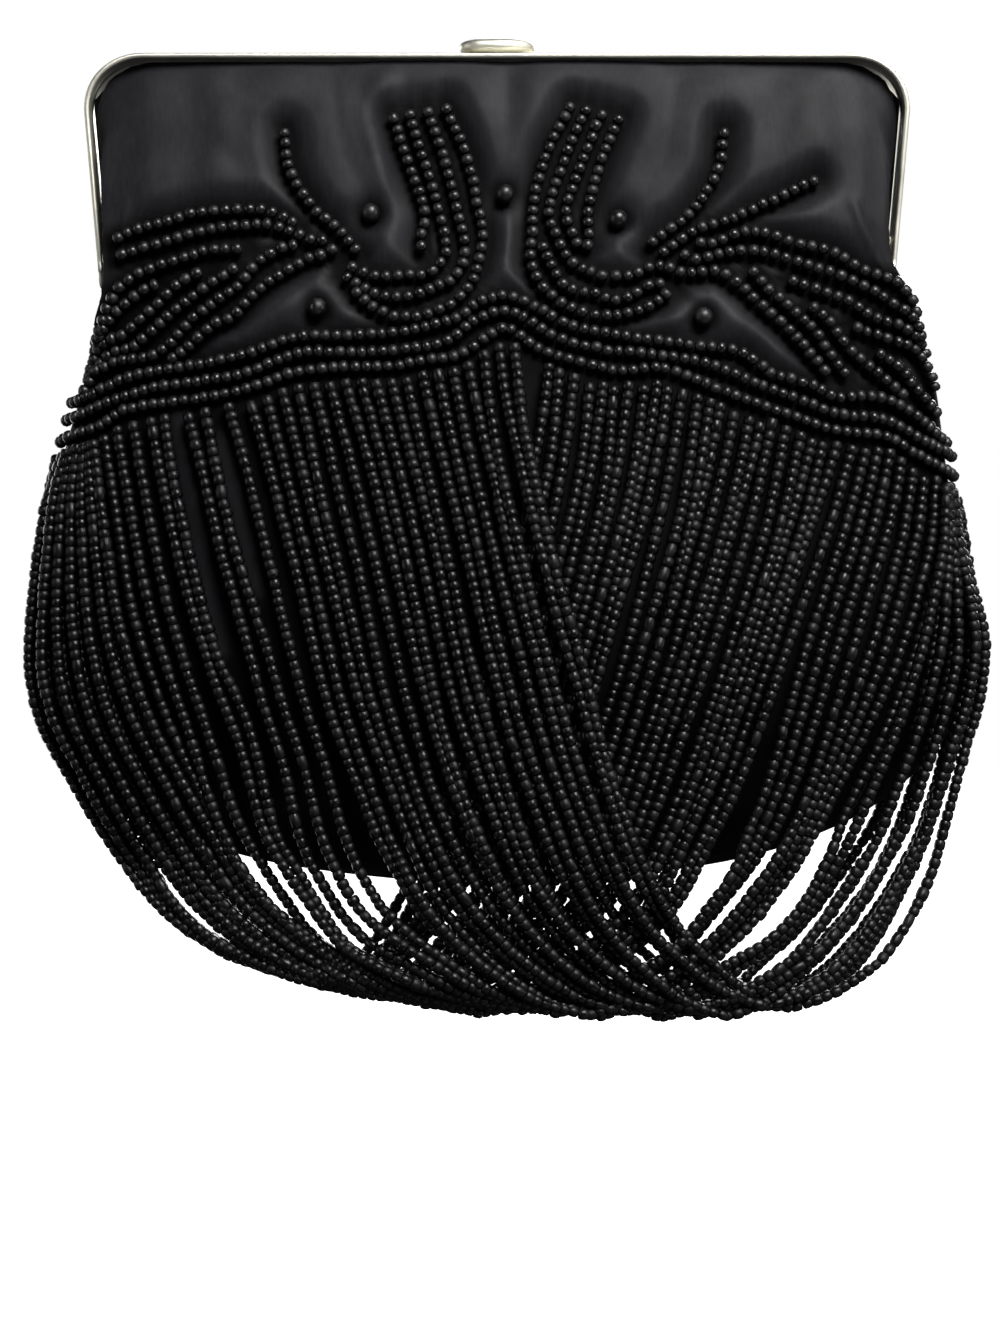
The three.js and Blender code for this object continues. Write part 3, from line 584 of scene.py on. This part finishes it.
def ramp(nt, fac, stops):
    r = nt.nodes.new("ShaderNodeValToRGB")
    while len(r.color_ramp.elements) < len(stops):
        r.color_ramp.elements.new(0.5)
    for e, (p, c) in zip(r.color_ramp.elements, stops):
        e.position, e.color = p, (*c, 1) if len(c) == 3 else c
    nt.links.new(fac, r.inputs["Fac"])
    return r.outputs["Color"]


def noise(nt, scale, detail=3.0, rough=0.55):
    co = nt.nodes.new("ShaderNodeTexCoord")
    n = nt.nodes.new("ShaderNodeTexNoise")
    n.inputs["Scale"].default_value = scale
    n.inputs["Detail"].default_value = detail
    n.inputs["Roughness"].default_value = rough
    nt.links.new(co.outputs["Object"], n.inputs["Vector"])
    return n.outputs["Fac"]


def span(nt, fac, low, high, a=0.3, b=0.7):
    m = nt.nodes.new("ShaderNodeMapRange")
    m.inputs["From Min"].default_value, m.inputs["From Max"].default_value = a, b
    m.inputs["To Min"].default_value, m.inputs["To Max"].default_value = low, high
    nt.links.new(fac, m.inputs["Value"])
    return m.outputs["Result"]


def bump(nt, height, strength, distance, before=None):
    b = nt.nodes.new("ShaderNodeBump")
    b.inputs["Strength"].default_value = strength
    b.inputs["Distance"].default_value = distance
    nt.links.new(height, b.inputs["Height"])
    if before is not None:
        nt.links.new(before, b.inputs["Normal"])
    return b.outputs["Normal"]


def bead_material(name, dark, smooth, dull, level):
    m, nt, p = nodes_of(name)
    tone = noise(nt, 420, 2.0)
    nt.links.new(ramp(nt, tone, [(0.3, (dark, dark, 1.1 * dark)), (0.7, (2.5 * dark, 2.4 * dark, 2.6 * dark))]), p.inputs["Base Color"])
    co = nt.nodes.new("ShaderNodeTexCoord")
    cell = nt.nodes.new("ShaderNodeTexVoronoi")
    cell.inputs["Scale"].default_value = 430
    nt.links.new(co.outputs["Object"], cell.inputs["Vector"])
    nt.links.new(span(nt, cell.outputs["Color"], smooth, dull, 0.1, 0.9), p.inputs["Roughness"])
    p.inputs["IOR"].default_value = 1.52
    p.inputs["Specular IOR Level"].default_value = level
    nt.links.new(bump(nt, noise(nt, 900, 2.0), 0.10, 0.0002), p.inputs["Normal"])
    return m


def satin_material():
    m, nt, p = nodes_of("black_satin")
    at = nt.nodes.new("ShaderNodeAttribute")
    at.attribute_name = "painted_light_and_coat"

    def times(a, b):
        m = nt.nodes.new("ShaderNodeMath")
        m.operation = "MULTIPLY"
        nt.links.new(a, m.inputs[0])
        nt.links.new(b, m.inputs[1])
        return m.outputs["Value"]

    thread = nt.nodes.new("ShaderNodeTexNoise")
    along = nt.nodes.new("ShaderNodeMapping")
    along.inputs["Scale"].default_value = (1500, 1500, 260)
    nt.links.new(nt.nodes.new("ShaderNodeTexCoord").outputs["Object"], along.inputs["Vector"])
    nt.links.new(along.outputs["Vector"], thread.inputs["Vector"])
    thread.inputs["Scale"].default_value = 1.0
    thread.inputs["Detail"].default_value = 3.0
    # base colour: painted light and painted shade from the stored share (near black in painted shade, charcoal in
    # painted light), times random mottling and thread streaks
    tone = times(at.outputs["Fac"], times(span(nt, noise(nt, 90, 4.0), 0.70, 1.0), span(nt, thread.outputs["Fac"], 0.62, 1.0)))
    nt.links.new(ramp(nt, tone, [(0.0, (0.0005, 0.0005, 0.0006)), (0.95, (0.0132, 0.0129, 0.0150))]), p.inputs["Base Color"])
    nt.links.new(span(nt, noise(nt, 240, 3.0), 0.62, 0.74), p.inputs["Roughness"])
    p.inputs["IOR"].default_value = 1.5
    p.inputs["Specular IOR Level"].default_value = 0.05
    # coat only where the painted light share is high
    nt.links.new(times(at.outputs["Fac"], span(nt, noise(nt, 130, 3.0), 0.10, 0.20)), p.inputs["Coat Weight"])
    p.inputs["Coat Roughness"].default_value = 0.48
    p.inputs["Coat IOR"].default_value = 1.5
    p.inputs["Sheen Weight"].default_value = 0.012
    p.inputs["Sheen Roughness"].default_value = 0.45
    p.inputs["Sheen Tint"].default_value = (0.72, 0.70, 0.82, 1)
    # satin floats: long warp threads lying side by side, crossed here and there by a weft thread
    co = nt.nodes.new("ShaderNodeTexCoord")
    warp = nt.nodes.new("ShaderNodeTexWave")
    warp.bands_direction = "X"
    warp.inputs["Scale"].default_value = 900
    warp.inputs["Distortion"].default_value = 1.2
    warp.inputs["Detail"].default_value = 1.0
    weft = nt.nodes.new("ShaderNodeTexWave")
    weft.bands_direction = "Z"
    weft.inputs["Scale"].default_value = 520
    weft.inputs["Distortion"].default_value = 2.4
    for w in (warp, weft):
        nt.links.new(co.outputs["Object"], w.inputs["Vector"])
    first = bump(nt, warp.outputs["Fac"], 0.10, 0.00010)
    second = bump(nt, weft.outputs["Fac"], 0.03, 0.00010, first)
    third = bump(nt, noise(nt, 260, 4.0), 0.10, 0.0008, second)
    nt.links.new(third, p.inputs["Normal"])
    return m


def metal_material():
    m, nt, p = nodes_of("pewter_plate")
    p.inputs["Metallic"].default_value = 1.0
    tone = noise(nt, 55, 5.0, 0.65)
    nt.links.new(ramp(nt, tone, [(0.28, (0.66, 0.64, 0.54)), (0.55, (0.74, 0.72, 0.62)), (0.8, (0.79, 0.77, 0.67))]), p.inputs["Base Color"])
    nt.links.new(span(nt, noise(nt, 210, 4.0), 0.38, 0.56), p.inputs["Roughness"])
    scratch = nt.nodes.new("ShaderNodeTexNoise")
    co = nt.nodes.new("ShaderNodeTexCoord")
    mp = nt.nodes.new("ShaderNodeMapping")
    mp.inputs["Scale"].default_value = (90, 2600, 90)
    nt.links.new(co.outputs["Object"], mp.inputs["Vector"])
    nt.links.new(mp.outputs["Vector"], scratch.inputs["Vector"])
    scratch.inputs["Scale"].default_value = 1.0
    scratch.inputs["Detail"].default_value = 3.0
    nt.links.new(bump(nt, scratch.outputs["Fac"], 0.12, 0.0001), p.inputs["Normal"])
    return m


# the second material is the same glass with a darker base colour and weaker specular: painted shade for the hanging
# fringe, which gets less light
BEADS, FRINGE = bead_material("bead_glass", 0.0015, 0.29, 0.54, 0.5), bead_material("fringe_glass_painted_shade", 0.0006, 0.30, 0.55, 0.29)
SATIN, METAL = satin_material(), metal_material()


def finish_piece(ob, material, slot, *nodes):
    ob.data.materials.clear()
    ob.data.materials.append(material)
    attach(ob, "root")
    if nodes:
        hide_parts(*nodes)
    return ob


# ------------------------------------------------------------------ make the couched strings and the band
string_lines = []
for row in BAND:
    where, along, n, half, rad, line = string_beads(row[1:], BAND_R, BAND_PITCH, 0.97)
    string_lines.append(line)
    finish_piece(bead_mesh(row[0] + "_beads", where, along, n, half, rad), BEADS, "beads", row[0])

for side in ("left", "right"):
    parts, names = [], []
    for row in SWIRLS:
        if side in row[0]:
            parts.append(string_beads(row[1:], BAND_R, SWIRL_PITCH, 0.92))
            names.append(row[0])
    where, along, n, half, rad, line = (np.concatenate([p[k] for p in parts]) for k in range(6))
    string_lines.append(line)
    finish_piece(bead_mesh("swirl_%s_beads" % side, where, along, n, half, rad), BEADS, "beads", *names)

tree_pts = np.vstack(string_lines)
TREE = KDTree(len(tree_pts))
for j, q in enumerate(tree_pts):
    TREE.insert(q, j)
TREE.balance()

accent_c, accent_n, _ = on_satin([a[1] for a in ACCENTS], [a[2] for a in ACCENTS], np.full(len(ACCENTS), 0.0))


# ------------------------------------------------------------------ satin panels
GATHER_PHASE = RNG.uniform(0, 6.28, 8)
ROLLS = [
    # turned edges of the satin beside the frame's arms, by pixel
    [(126, 205), (121, 235), (114, 262), (109, 286)],
    [(853, 205), (862, 228), (878, 258), (893, 286)],
]


def line_gap(px, py, line):
    """Distance in pixels from a broken line."""
    best = np.full(len(px), 1e9)
    for (ax, ay), (bx, by) in zip(line, line[1:]):
        t = np.clip(((px - ax) * (bx - ax) + (py - ay) * (by - ay)) / ((bx - ax) ** 2 + (by - ay) ** 2), 0, 1)
        best = np.minimum(best, np.hypot(px - ax - t * (bx - ax), py - ay - t * (by - ay)))
    return best


def puff(p, n, front):
    """How far the satin stands out of its plain form at each place, in mm, and the share of lit tone and coat painted
    on it: low where shade is painted, high where light is painted.
    """
    x, z = p[:, 0], p[:, 2]
    # second value: share of lit tone and coat for the satin's colour, used as painted light and painted shade; the
    # back gets half of it all over
    d, painted_light_and_coat = np.zeros(len(p)), np.full(len(p), 1.0 if front else 0.5)
    # gathers that run down from the frame
    fade = smoothstep(-62, -20, z) * smoothstep(0, 1, (-z - 2) / 6)
    warped = x + 5.0 * np.sin(x * 0.083 + GATHER_PHASE[4]) + 2.5 * np.sin(x * 0.19 + GATHER_PHASE[5])
    g = np.sin(warped * 0.51 + GATHER_PHASE[0] + 0.02 * z) * 0.4 + np.sin(warped * 0.29 + GATHER_PHASE[1] - 0.03 * z) * 0.6
    d += (0.5 if front else 0.6) * fade * g * (0.65 + 0.35 * np.sin(x * 0.061 + GATHER_PHASE[6]))
    # long soft hollows lower down
    d += 0.4 * smoothstep(-50, -80, z) * (np.sin(x * 0.11 + GATHER_PHASE[2] + 0.035 * z) * np.cos(z * 0.045 + GATHER_PHASE[3]) - 1)
    if front:
        near = np.array([TREE.find(q)[2] for q in p])
        side = np.sqrt(np.maximum(0.0, near**2 - BAND_R**2))
        quilt = smoothstep(1.2, 6.5, side) * (1 - 0.35 * smoothstep(8, 16, side))
        px, py = to_pixel(p)
        above = 1 - smoothstep(-14, 4, py - band_edge(px))
        inside = 1 - smoothstep(0.86, 0.97, np.abs(x) / 79.0) * smoothstep(-62, -50, z)
        d = inside * (d * smoothstep(1.0, 6.0, side) + above * (1.5 * quilt - 0.5 * (1 - smoothstep(1.2, 5.0, side))))
        for line in ROLLS:
            d += 0.6 * np.exp(-((line_gap(px, py, line) / 5.0) ** 2))
        for c in accent_c:
            r = np.linalg.norm(p - c, axis=1)
            d -= 2.1 * np.exp(-((r / 3.6) ** 2))
            # painted shade: the satin's colour darkens round each accent bead
            painted_light_and_coat *= smoothstep(1.8, 4.4, r)
        # painted shade beside the bead strings and under the fringe, and painted light on a strip near the bottom
        # edge
        painted_light_and_coat *= smoothstep(1.3, 4.2, side) * (0.03 + 0.97 * above + 0.5 * smoothstep(-138, -152, z))
        # painted light: lit satin painted into the first two slits of the fringe
        for slit in LEFT_SLITS[:2]:
            gap = line_gap(px, py, [(x, y) for y, x, _ in slit])
            painted_light_and_coat = np.maximum(painted_light_and_coat, 0.8 * np.exp(-((gap / 9.0) ** 2)))
    return d, painted_light_and_coat


def tuck(z):
    """How much wider the back is between the arms, to reach their inner faces."""
    inner = (FRAME["half"] - 1.3) * (1 + FRAME["spread"] * (z - FRAME["hinge"]) / -FRAME["hinge"])
    return max(0.0, inner - float(HALF(z))) * float(smoothstep(-5, -9, z) * smoothstep(-39, -34, z))


def resample(points, count):
    seg = np.concatenate([[0], np.cumsum(np.linalg.norm(np.diff(points, axis=0), axis=1))])
    at = np.linspace(0, seg[-1], count)
    return np.stack([np.interp(at, seg, points[:, k]) for k in range(3)], -1)


def panel(front, columns, rows):
    name = "satin_front_cloth" if front else "satin_back_cloth"
    # levels spaced evenly along the middle of the panel
    zz = np.linspace(-2.0, -165.8, 1200)
    depth = FRONT(zz) if front else BACK(zz)
    run = np.concatenate([[0], np.cumsum(np.hypot(np.diff(zz), np.diff(depth)) + 0.15 * np.abs(np.diff(HALF(zz))))])
    levels = np.interp(np.linspace(0, run[-1], rows), run, zz)
    t = np.linspace(-np.pi / 2, np.pi / 2, 700)
    grid = np.zeros((rows, columns, 3))
    for i, z in enumerate(levels):
        n = POWER(z)
        s = np.sign(np.sin(t)) * np.abs(np.sin(t)) ** (2 / n)
        c = np.abs(np.cos(t)) ** (2 / n)
        y = -FRONT(z) * c if front else BACK(z) * c
        x = SHIFT(z) + HALF(z) * s + swell(s, np.full(len(s), z)) if front else SHIFT(z) + (HALF(z) + tuck(z)) * s
        grid[i] = resample(np.stack([x, y, np.full(len(s), z)], -1), columns)
    if not front:
        grid = grid[:, ::-1]
    du = np.gradient(grid, axis=1)
    dv = np.gradient(grid, axis=0)
    nrm = np.cross(dv, du)
    nrm /= np.maximum(1e-9, np.linalg.norm(nrm, axis=-1, keepdims=True))
    flat = grid.reshape(-1, 3)
    d, painted_light_and_coat = puff(flat, nrm.reshape(-1, 3), front)
    d = d.reshape(rows, columns)
    col = np.arange(columns) / (columns - 1)
    seam = smoothstep(0, 0.05, np.minimum(col, 1 - col))[None, :] * smoothstep(0, 6, rows - 1 - np.arange(rows))[:, None]
    d = d * seam - 0.45 * (1 - smoothstep(0, 0.012, np.minimum(col, 1 - col)))[None, :]
    out = grid + nrm * d[..., None]
    inner = out - nrm * 1.5
    inner[..., 1] = np.minimum(inner[..., 1], -0.03) if front else np.maximum(inner[..., 1], 0.03)
    verts = np.vstack([out.reshape(-1, 3), inner.reshape(-1, 3)])
    faces = []

    def quads(ids, flip):
        a, b, c, e = ids[:-1, :-1], ids[1:, :-1], ids[1:, 1:], ids[:-1, 1:]
        faces.append(np.stack([a, b, c, e] if not flip else [a, e, c, b], -1).reshape(-1, 4))

    o = np.arange(rows * columns).reshape(rows, columns)
    i_ = rows * columns + o
    quads(o, False)
    quads(i_, True)
    quads(np.stack([o[0], i_[0]]), True)
    quads(np.stack([o[-1], i_[-1]]), False)
    quads(np.stack([o[:, 0], i_[:, 0]]), False)
    quads(np.stack([o[:, -1], i_[:, -1]]), True)
    ob = new_mesh(name, verts * MM, np.vstack(faces))
    # painted light and shade share, stored on both faces of the panel for the satin's colour and coat
    ob.data.attributes.new("painted_light_and_coat", "FLOAT", "POINT").data.foreach_set("value", np.tile(painted_light_and_coat, 2).astype(np.float32))
    return finish_piece(ob, SATIN, "satin", "satin_front" if front else "satin_back")


FRONT_GRID, BACK_GRID = (214, 156), (124, 104)
front_piece = panel(True, *FRONT_GRID)
back_piece = panel(False, *BACK_GRID)


# ------------------------------------------------------------------ accent beads
def accent(name, c, n):
    """A larger round bead, a little flattened at its hole, drawn down into the satin."""
    rings, sides = 14, 22
    v, f = [], []
    for i in range(rings + 1):
        a = -math.pi / 2 + math.pi * i / rings
        r, u = math.cos(a) ** 0.92 if 0 < i < rings else 0.02, 0.93 * math.sin(a)
        for k in range(sides):
            b = 2 * math.pi * k / sides
            v.append((u, r * math.cos(b), r * math.sin(b)))
    for i in range(rings):
        for k in range(sides):
            j = (k + 1) % sides
            f.append((i * sides + k, (i + 1) * sides + k, (i + 1) * sides + j, i * sides + j))
    v = np.array(v) * ACCENT_R
    t = np.cross(n, (0.25, 0, 1.0))
    t /= np.linalg.norm(t)
    b = np.cross(t, n)
    w = c + n * (ACCENT_R - 0.55) + v[:, :1] * t + v[:, 1:2] * n + v[:, 2:3] * b
    return new_mesh(name + "_glass", w * MM, np.array(f)[:, ::-1])


for (name, _, _), c, n in zip(ACCENTS, accent_c, accent_n):
    finish_piece(accent(name, c, n), BEADS, "beads", name)

# ------------------------------------------------------------------ fringe
GROUPS = 11
per = LOOPS // GROUPS
for g in range(GROUPS):
    parts = []
    for i in range(g * per, (g + 1) * per):
        path = fringe_path(i)
        lengths = pitches(420, FRINGE_PITCH, 0.08) * np.where(RNG.random(420) < 0.045, 1.45, 1.0)
        where, along, _, long = walk(path, lengths)
        k = len(where)
        half = 0.53 * long
        rad = FRINGE_R * (1 + np.clip(RNG.normal(0, 0.06, k), -0.13, 0.13)) * (1.08 - 0.08 * smoothstep(-95, -140, where[:, 2]))
        where = where + RNG.normal(0, 0.045, (k, 3))
        along = along + RNG.normal(0, 0.07, (k, 3))
        parts.append((where, along, np.tile([0.0, -1.0, 0.0], (k, 1)), half, rad))
    where, along, n, half, rad = (np.concatenate([p[k] for p in parts]) for k in range(5))
    ob = bead_mesh("fringe_loops_%d" % (g + 1), where, along, n, half, rad, HANGING)
    finish_piece(ob, FRINGE, "beads", "bead_fringe")

# ------------------------------------------------------------------ frame

def frame_line(end, steps=14):
    """Middle of the strip, in x and z, from the left hinge over the top to the right hinge, with its outward direction."""
    w, r = FRAME["half"], FRAME["corner"]
    pts = [(-w, end + (-r - end) * k / 12, -1, 0) for k in range(12)]
    for k in range(steps + 1):
        a = math.pi / 2 * k / steps
        pts.append((-w + r - r * math.cos(a), -r + r * math.sin(a), -math.cos(a), math.sin(a)))
    pts += [(-w + r + (2 * w - 2 * r) * k / 40, 0, 0, 1) for k in range(1, 40)]
    for k in range(steps + 1):
        a = math.pi / 2 * k / steps
        pts.append((w - r + r * math.sin(a), -r + r * math.cos(a), math.sin(a), math.cos(a)))
    pts += [(w, -r + (end + r) * k / 12, 1, 0) for k in range(1, 13)]
    return np.array(pts, float)


# Section of a half: a strip with a rolled rim along its outer edge, as inset and depth from that edge.
SECTION = [
    # inset, depth
    (0.02, 0.55), (0.10, 0.20), (0.34, 0.02), (0.72, 0.02), (0.98, 0.20), (1.08, 0.55), (1.02, 0.95), (0.92, 1.25),
    (0.96, 3.5), (0.96, 6.6), (0.88, 6.9), (0.66, 7.0), (0.40, 7.0), (0.22, 6.9), (0.14, 6.6), (0.14, 3.5), (0.18, 1.3), (0.06, 0.95),
]


def spread(x, z):
    return x * (1 + FRAME["spread"] * (z - FRAME["hinge"]) / -FRAME["hinge"])


def disc(x0, x1, radius, hole, y0=0.0, sides=40):
    """A flat ring with rounded edges round the hinge axis, between two places along X."""
    e = 0.18
    prof = [(x0, hole), (x0, radius - e), (x0 + e * 0.3, radius - e * 0.3), (x0 + e, radius), (x1 - e, radius), (x1 - e * 0.3, radius - e * 0.3),
            (x1, radius - e), (x1, hole)]
    v, f = [], []
    m = len(prof)
    for k in range(sides):
        a = 2 * math.pi * k / sides
        for x, r in prof:
            v.append((x, y0 + r * math.cos(a), FRAME["hinge"] + r * math.sin(a)))
    for k in range(sides):
        for i in range(m):
            a, b = k * m + i, k * m + (i + 1) % m
            c, d = ((k + 1) % sides) * m + (i + 1) % m, ((k + 1) % sides) * m + i
            f.append((a, b, c, d))
    return np.array(v), np.array(f)


def block(x0, x1, y0, y1, z0, z1, e=0.15):
    """A plate with eased edges."""
    v, f = [], []
    levels = [(z0, e), (z0 + e, 0), (z1 - e, 0), (z1, e)]
    for z, inset in levels:
        a, b, c, d = x0 + inset, x1 - inset, y0 + inset, y1 - inset
        v += [(a + e, c, z), (b - e, c, z), (b, c + e, z), (b, d - e, z), (b - e, d, z), (a + e, d, z), (a, d - e, z), (a, c + e, z)]
    for i in range(3):
        for k in range(8):
            j = (k + 1) % 8
            f.append((i * 8 + k, i * 8 + j, (i + 1) * 8 + j, (i + 1) * 8 + k))
    for base, flip in ((0, True), (24, False)):
        for q in ((0, 1, 2, 3), (0, 3, 4, 7), (4, 5, 6, 7)):
            q = tuple(base + k for k in q)
            f.append(q[::-1] if flip else q)
    return np.array(v), np.array(f)


def join(parts):
    verts, faces, base = [], [], 0
    for v, f in parts:
        verts.append(v)
        faces.append(np.asarray(f) + base)
        base += len(v)
    return np.vstack(verts), np.vstack(faces)


def frame_half(front):
    end = FRAME["hinge"] if front else FRAME["hinge"] + FRAME["ear"] + 0.4
    line = frame_line(end)
    edge = -FRAME["slit"] - FRAME["deep"] if front else FRAME["slit"] + FRAME["deep"]
    way = 1.0 if front else -1.0
    v, f = [], []
    m = len(SECTION)
    for x, z, ox, oz in line:
        for inset, depth in SECTION:
            v.append((x - ox * inset, edge + way * depth, z - oz * inset))
    n = len(line)
    for i in range(n - 1):
        for k in range(m):
            j = (k + 1) % m
            q = (i * m + k, i * m + j, (i + 1) * m + j, (i + 1) * m + k)
            f.append(q if front else q[::-1])
    for base, flip in ((0, False), ((n - 1) * m, True)):
        for k in range(m // 2 - 1):
            q = (base + k, base + k + 1, base + m - 2 - k, base + m - 1 - k)
            f.append(q[::-1] if flip == front else q)
    parts = [(np.array(v), np.array(f))]
    for side in (-1, 1):
        out = FRAME["half"] - (0.05 if front else FRAME["thick"] + 0.4)
        x0, x1 = sorted((side * out, side * (out - FRAME["thick"] + 0.05)))
        parts.append(disc(x0, x1, FRAME["ear"], 1.5))
        if front:
            parts.append(block(x0, x1, -6.0, -1.6, FRAME["hinge"] - FRAME["ear"] + 0.1, FRAME["hinge"] + 1.0))
        else:
            parts.append(block(x0, x1, 1.6, 6.2, FRAME["hinge"] - 1.2, FRAME["hinge"] + 8))
            a, b = sorted((side * (out - FRAME["thick"]), side * (FRAME["half"] - 0.4)))
            parts.append(block(a, b, 0.6, 6.8, end + 0.2, FRAME["hinge"] + 8))
    v, f = join(parts)
    v[:, 0] = spread(v[:, 0], v[:, 2])
    name = "frame_front" if front else "frame_back"
    ob = new_mesh(name + "_strip", v * MM, f)
    return finish_piece(ob, METAL, "metal", name)


for is_front in (True, False):
    frame_half(is_front)


def lathe(profile, sides, axis_x=True):
    """Turned solid about the hinge axis: profile of place along X and radius."""
    v, f = [], []
    m = len(profile)
    for k in range(sides):
        a = 2 * math.pi * k / sides
        for x, r in profile:
            v.append((x, r * math.cos(a), FRAME["hinge"] + r * math.sin(a)))
    for k in range(sides):
        for i in range(m - 1):
            a, d = k * m + i, ((k + 1) % sides) * m + i
            f.append((a, a + 1, d + 1, d))
    return np.array(v), np.array(f)


for side in (-1, 1):
    out = FRAME["half"] + 0.4
    inn = FRAME["half"] - 2 * FRAME["thick"] - 0.8
    dome = [(inn - 0.6, 0.02), (inn - 0.58, 1.2), (inn - 0.5, 2.0), (inn - 0.25, 2.3), (inn - 0.05, 2.2), (inn, 1.9), (inn, 1.2),
            (out - 0.3, 1.2), (out - 0.3, 2.1), (out - 0.24, 2.25), (out - 0.12, 2.25), (out - 0.02, 1.9), (out + 0.06, 1.2), (out + 0.08, 0.6), (out + 0.09, 0.02)]
    v, f = lathe([(side * x, r) for x, r in dome], 36)
    name = "hinge_pin_left" if side < 0 else "hinge_pin_right"
    finish_piece(new_mesh(name + "_rivet", v * MM, f if side < 0 else f[:, ::-1]), METAL, "metal", name)


def clasp():
    """Closing bar, a low rounded pebble that bridges the two halves."""
    n, rings = 72, 22
    v, f = [], []
    for i in range(rings + 1):
        a = -math.pi / 2 + math.pi * i / rings
        c, s = abs(math.cos(a)) ** 0.55, math.copysign(abs(math.sin(a)) ** 0.75, math.sin(a))
        for k in range(n):
            b = 2 * math.pi * k / n
            cb, sb = math.copysign(abs(math.cos(b)) ** 0.72, math.cos(b)), math.copysign(abs(math.sin(b)) ** 0.85, math.sin(b))
            v.append((7.5 * cb * max(c, 0.01), 4.5 * sb * max(c, 0.01), 2.0 + 1.6 * s))
    for i in range(rings):
        for k in range(n):
            j = (k + 1) % n
            f.append((i * n + k, i * n + j, (i + 1) * n + j, (i + 1) * n + k))
    return new_mesh("clasp_bar", np.array(v) * MM, np.array(f))


finish_piece(clasp(), METAL, "metal", "clasp")

def cut_panel(depth):
    """Width, length and area in metres of a flat panel, from the pouch's sections alone: the widest way
    round from seam to seam, the way down the middle, and the area of the form without puffs or gathers."""
    z = np.linspace(POUCH[0, 0], POUCH[-1, 0], 400)[:, None]
    s = np.sin(np.linspace(-math.pi / 2, math.pi / 2, 401))[None]
    p = np.stack([SHIFT(z) + HALF(z) * s, depth(z) * crown(s, POWER(z)), z + 0 * s], -1) * MM
    width = np.linalg.norm(np.diff(p, axis=1), axis=-1).sum(1).max()
    length = np.linalg.norm(np.diff(p[:, 200], axis=0), axis=-1).sum()
    one, two = p[1:, 1:] - p[:-1, :-1], p[1:, :-1] - p[:-1, 1:]
    return width, length, np.linalg.norm(np.cross(one, two), axis=-1).sum() / 2


for ob, depth in ((front_piece, FRONT), (back_piece, BACK)):
    width, length, cut = cut_panel(depth)
    print("cut panel", ob.name, round(width, 4), round(length, 4), round(cut, 5))

# ------------------------------------------------------------------ stage, light, camera
scene = bpy.context.scene
floor_z = -0.30
floor = new_mesh("floor", np.array([(-6, -3, floor_z), (6, -3, floor_z), (6, 6, floor_z), (-6, 6, floor_z)]), np.array([[0, 1, 2, 3]]), False)
fm, fnt, fp = nodes_of("pale_floor")
fnt.links.new(ramp(fnt, noise(fnt, 1.5, 2.0), [(0.3, (0.86, 0.86, 0.86)), (0.7, (0.90, 0.90, 0.90))]), fp.inputs["Base Color"])
fp.inputs["Roughness"].default_value = 0.9
fp.inputs["Emission Color"].default_value = (1, 1, 1, 1)
fp.inputs["Emission Strength"].default_value = 1.6
floor.data.materials.append(fm)
floor.visible_glossy = False
floor.visible_diffuse = False

world = bpy.data.worlds.new("studio")
world.use_nodes = True
wt = world.node_tree
bg = wt.nodes["Background"]
seen = wt.nodes.new("ShaderNodeBackground")
seen.inputs["Color"].default_value = (1, 1, 1, 1)
bg.inputs["Color"].default_value = (0.9, 0.92, 1.0, 1)
bg.inputs["Strength"].default_value = 0.06
ray = wt.nodes.new("ShaderNodeLightPath")
mix = wt.nodes.new("ShaderNodeMixShader")
wt.links.new(ray.outputs["Is Camera Ray"], mix.inputs["Fac"])
wt.links.new(bg.outputs["Background"], mix.inputs[1])
wt.links.new(seen.outputs["Background"], mix.inputs[2])
wt.links.new(mix.outputs["Shader"], wt.nodes["World Output"].inputs["Surface"])
scene.world = world


def softbox(name, place, target, size, power, beam=180.0, colour=(1, 1, 1)):
    li = bpy.data.lights.new(name, "AREA")
    li.shape = "RECTANGLE"
    li.size, li.size_y = size
    li.energy = power
    li.color = colour
    li.spread = math.radians(beam)
    ob = bpy.data.objects.new(name, li)
    scene.collection.objects.link(ob)
    ob.location = place
    from mathutils import Vector
    ob.rotation_euler = (Vector(target) - Vector(place)).to_track_quat("-Z", "Y").to_euler()
    return ob


softbox("key", (0.28, -0.66, 0.60), (0, -0.02, -0.06), (0.58, 0.48), 5.0, 90.0)
softbox("fill_left", (-1.25, -0.38, 0.12), (0, 0, -0.1), (0.6, 0.8), 2.4)
softbox("fill_right", (1.25, -0.38, 0.02), (0, 0, -0.12), (0.6, 0.8), 2.8)
softbox("bounce", (0.28, -0.50, -0.85), (0, 0, -0.15), (0.9, 0.6), 0.6)
softbox("back_key", (0.35, 1.0, 0.42), (0, 0, -0.1), (0.7, 0.6), 16.0)
softbox("back_fill", (-0.7, 0.9, -0.1), (0, 0, -0.1), (0.7, 0.8), 5.0)

cam = bpy.data.cameras.new("camera")
cam.sensor_width = 36.0
cam.lens = 36.0 * DIST / (1333 * PX)
cam_ob = bpy.data.objects.new("camera", cam)
scene.collection.objects.link(cam_ob)
cam_ob.location = (EYE_X * MM, -DIST * MM, EYE_Z * MM)
cam_ob.rotation_euler = (math.pi / 2, 0, 0)
scene.camera = cam_ob
scene.view_settings.view_transform = "Standard"
scene.view_settings.look = "None"

bpy.context.view_layer.update()
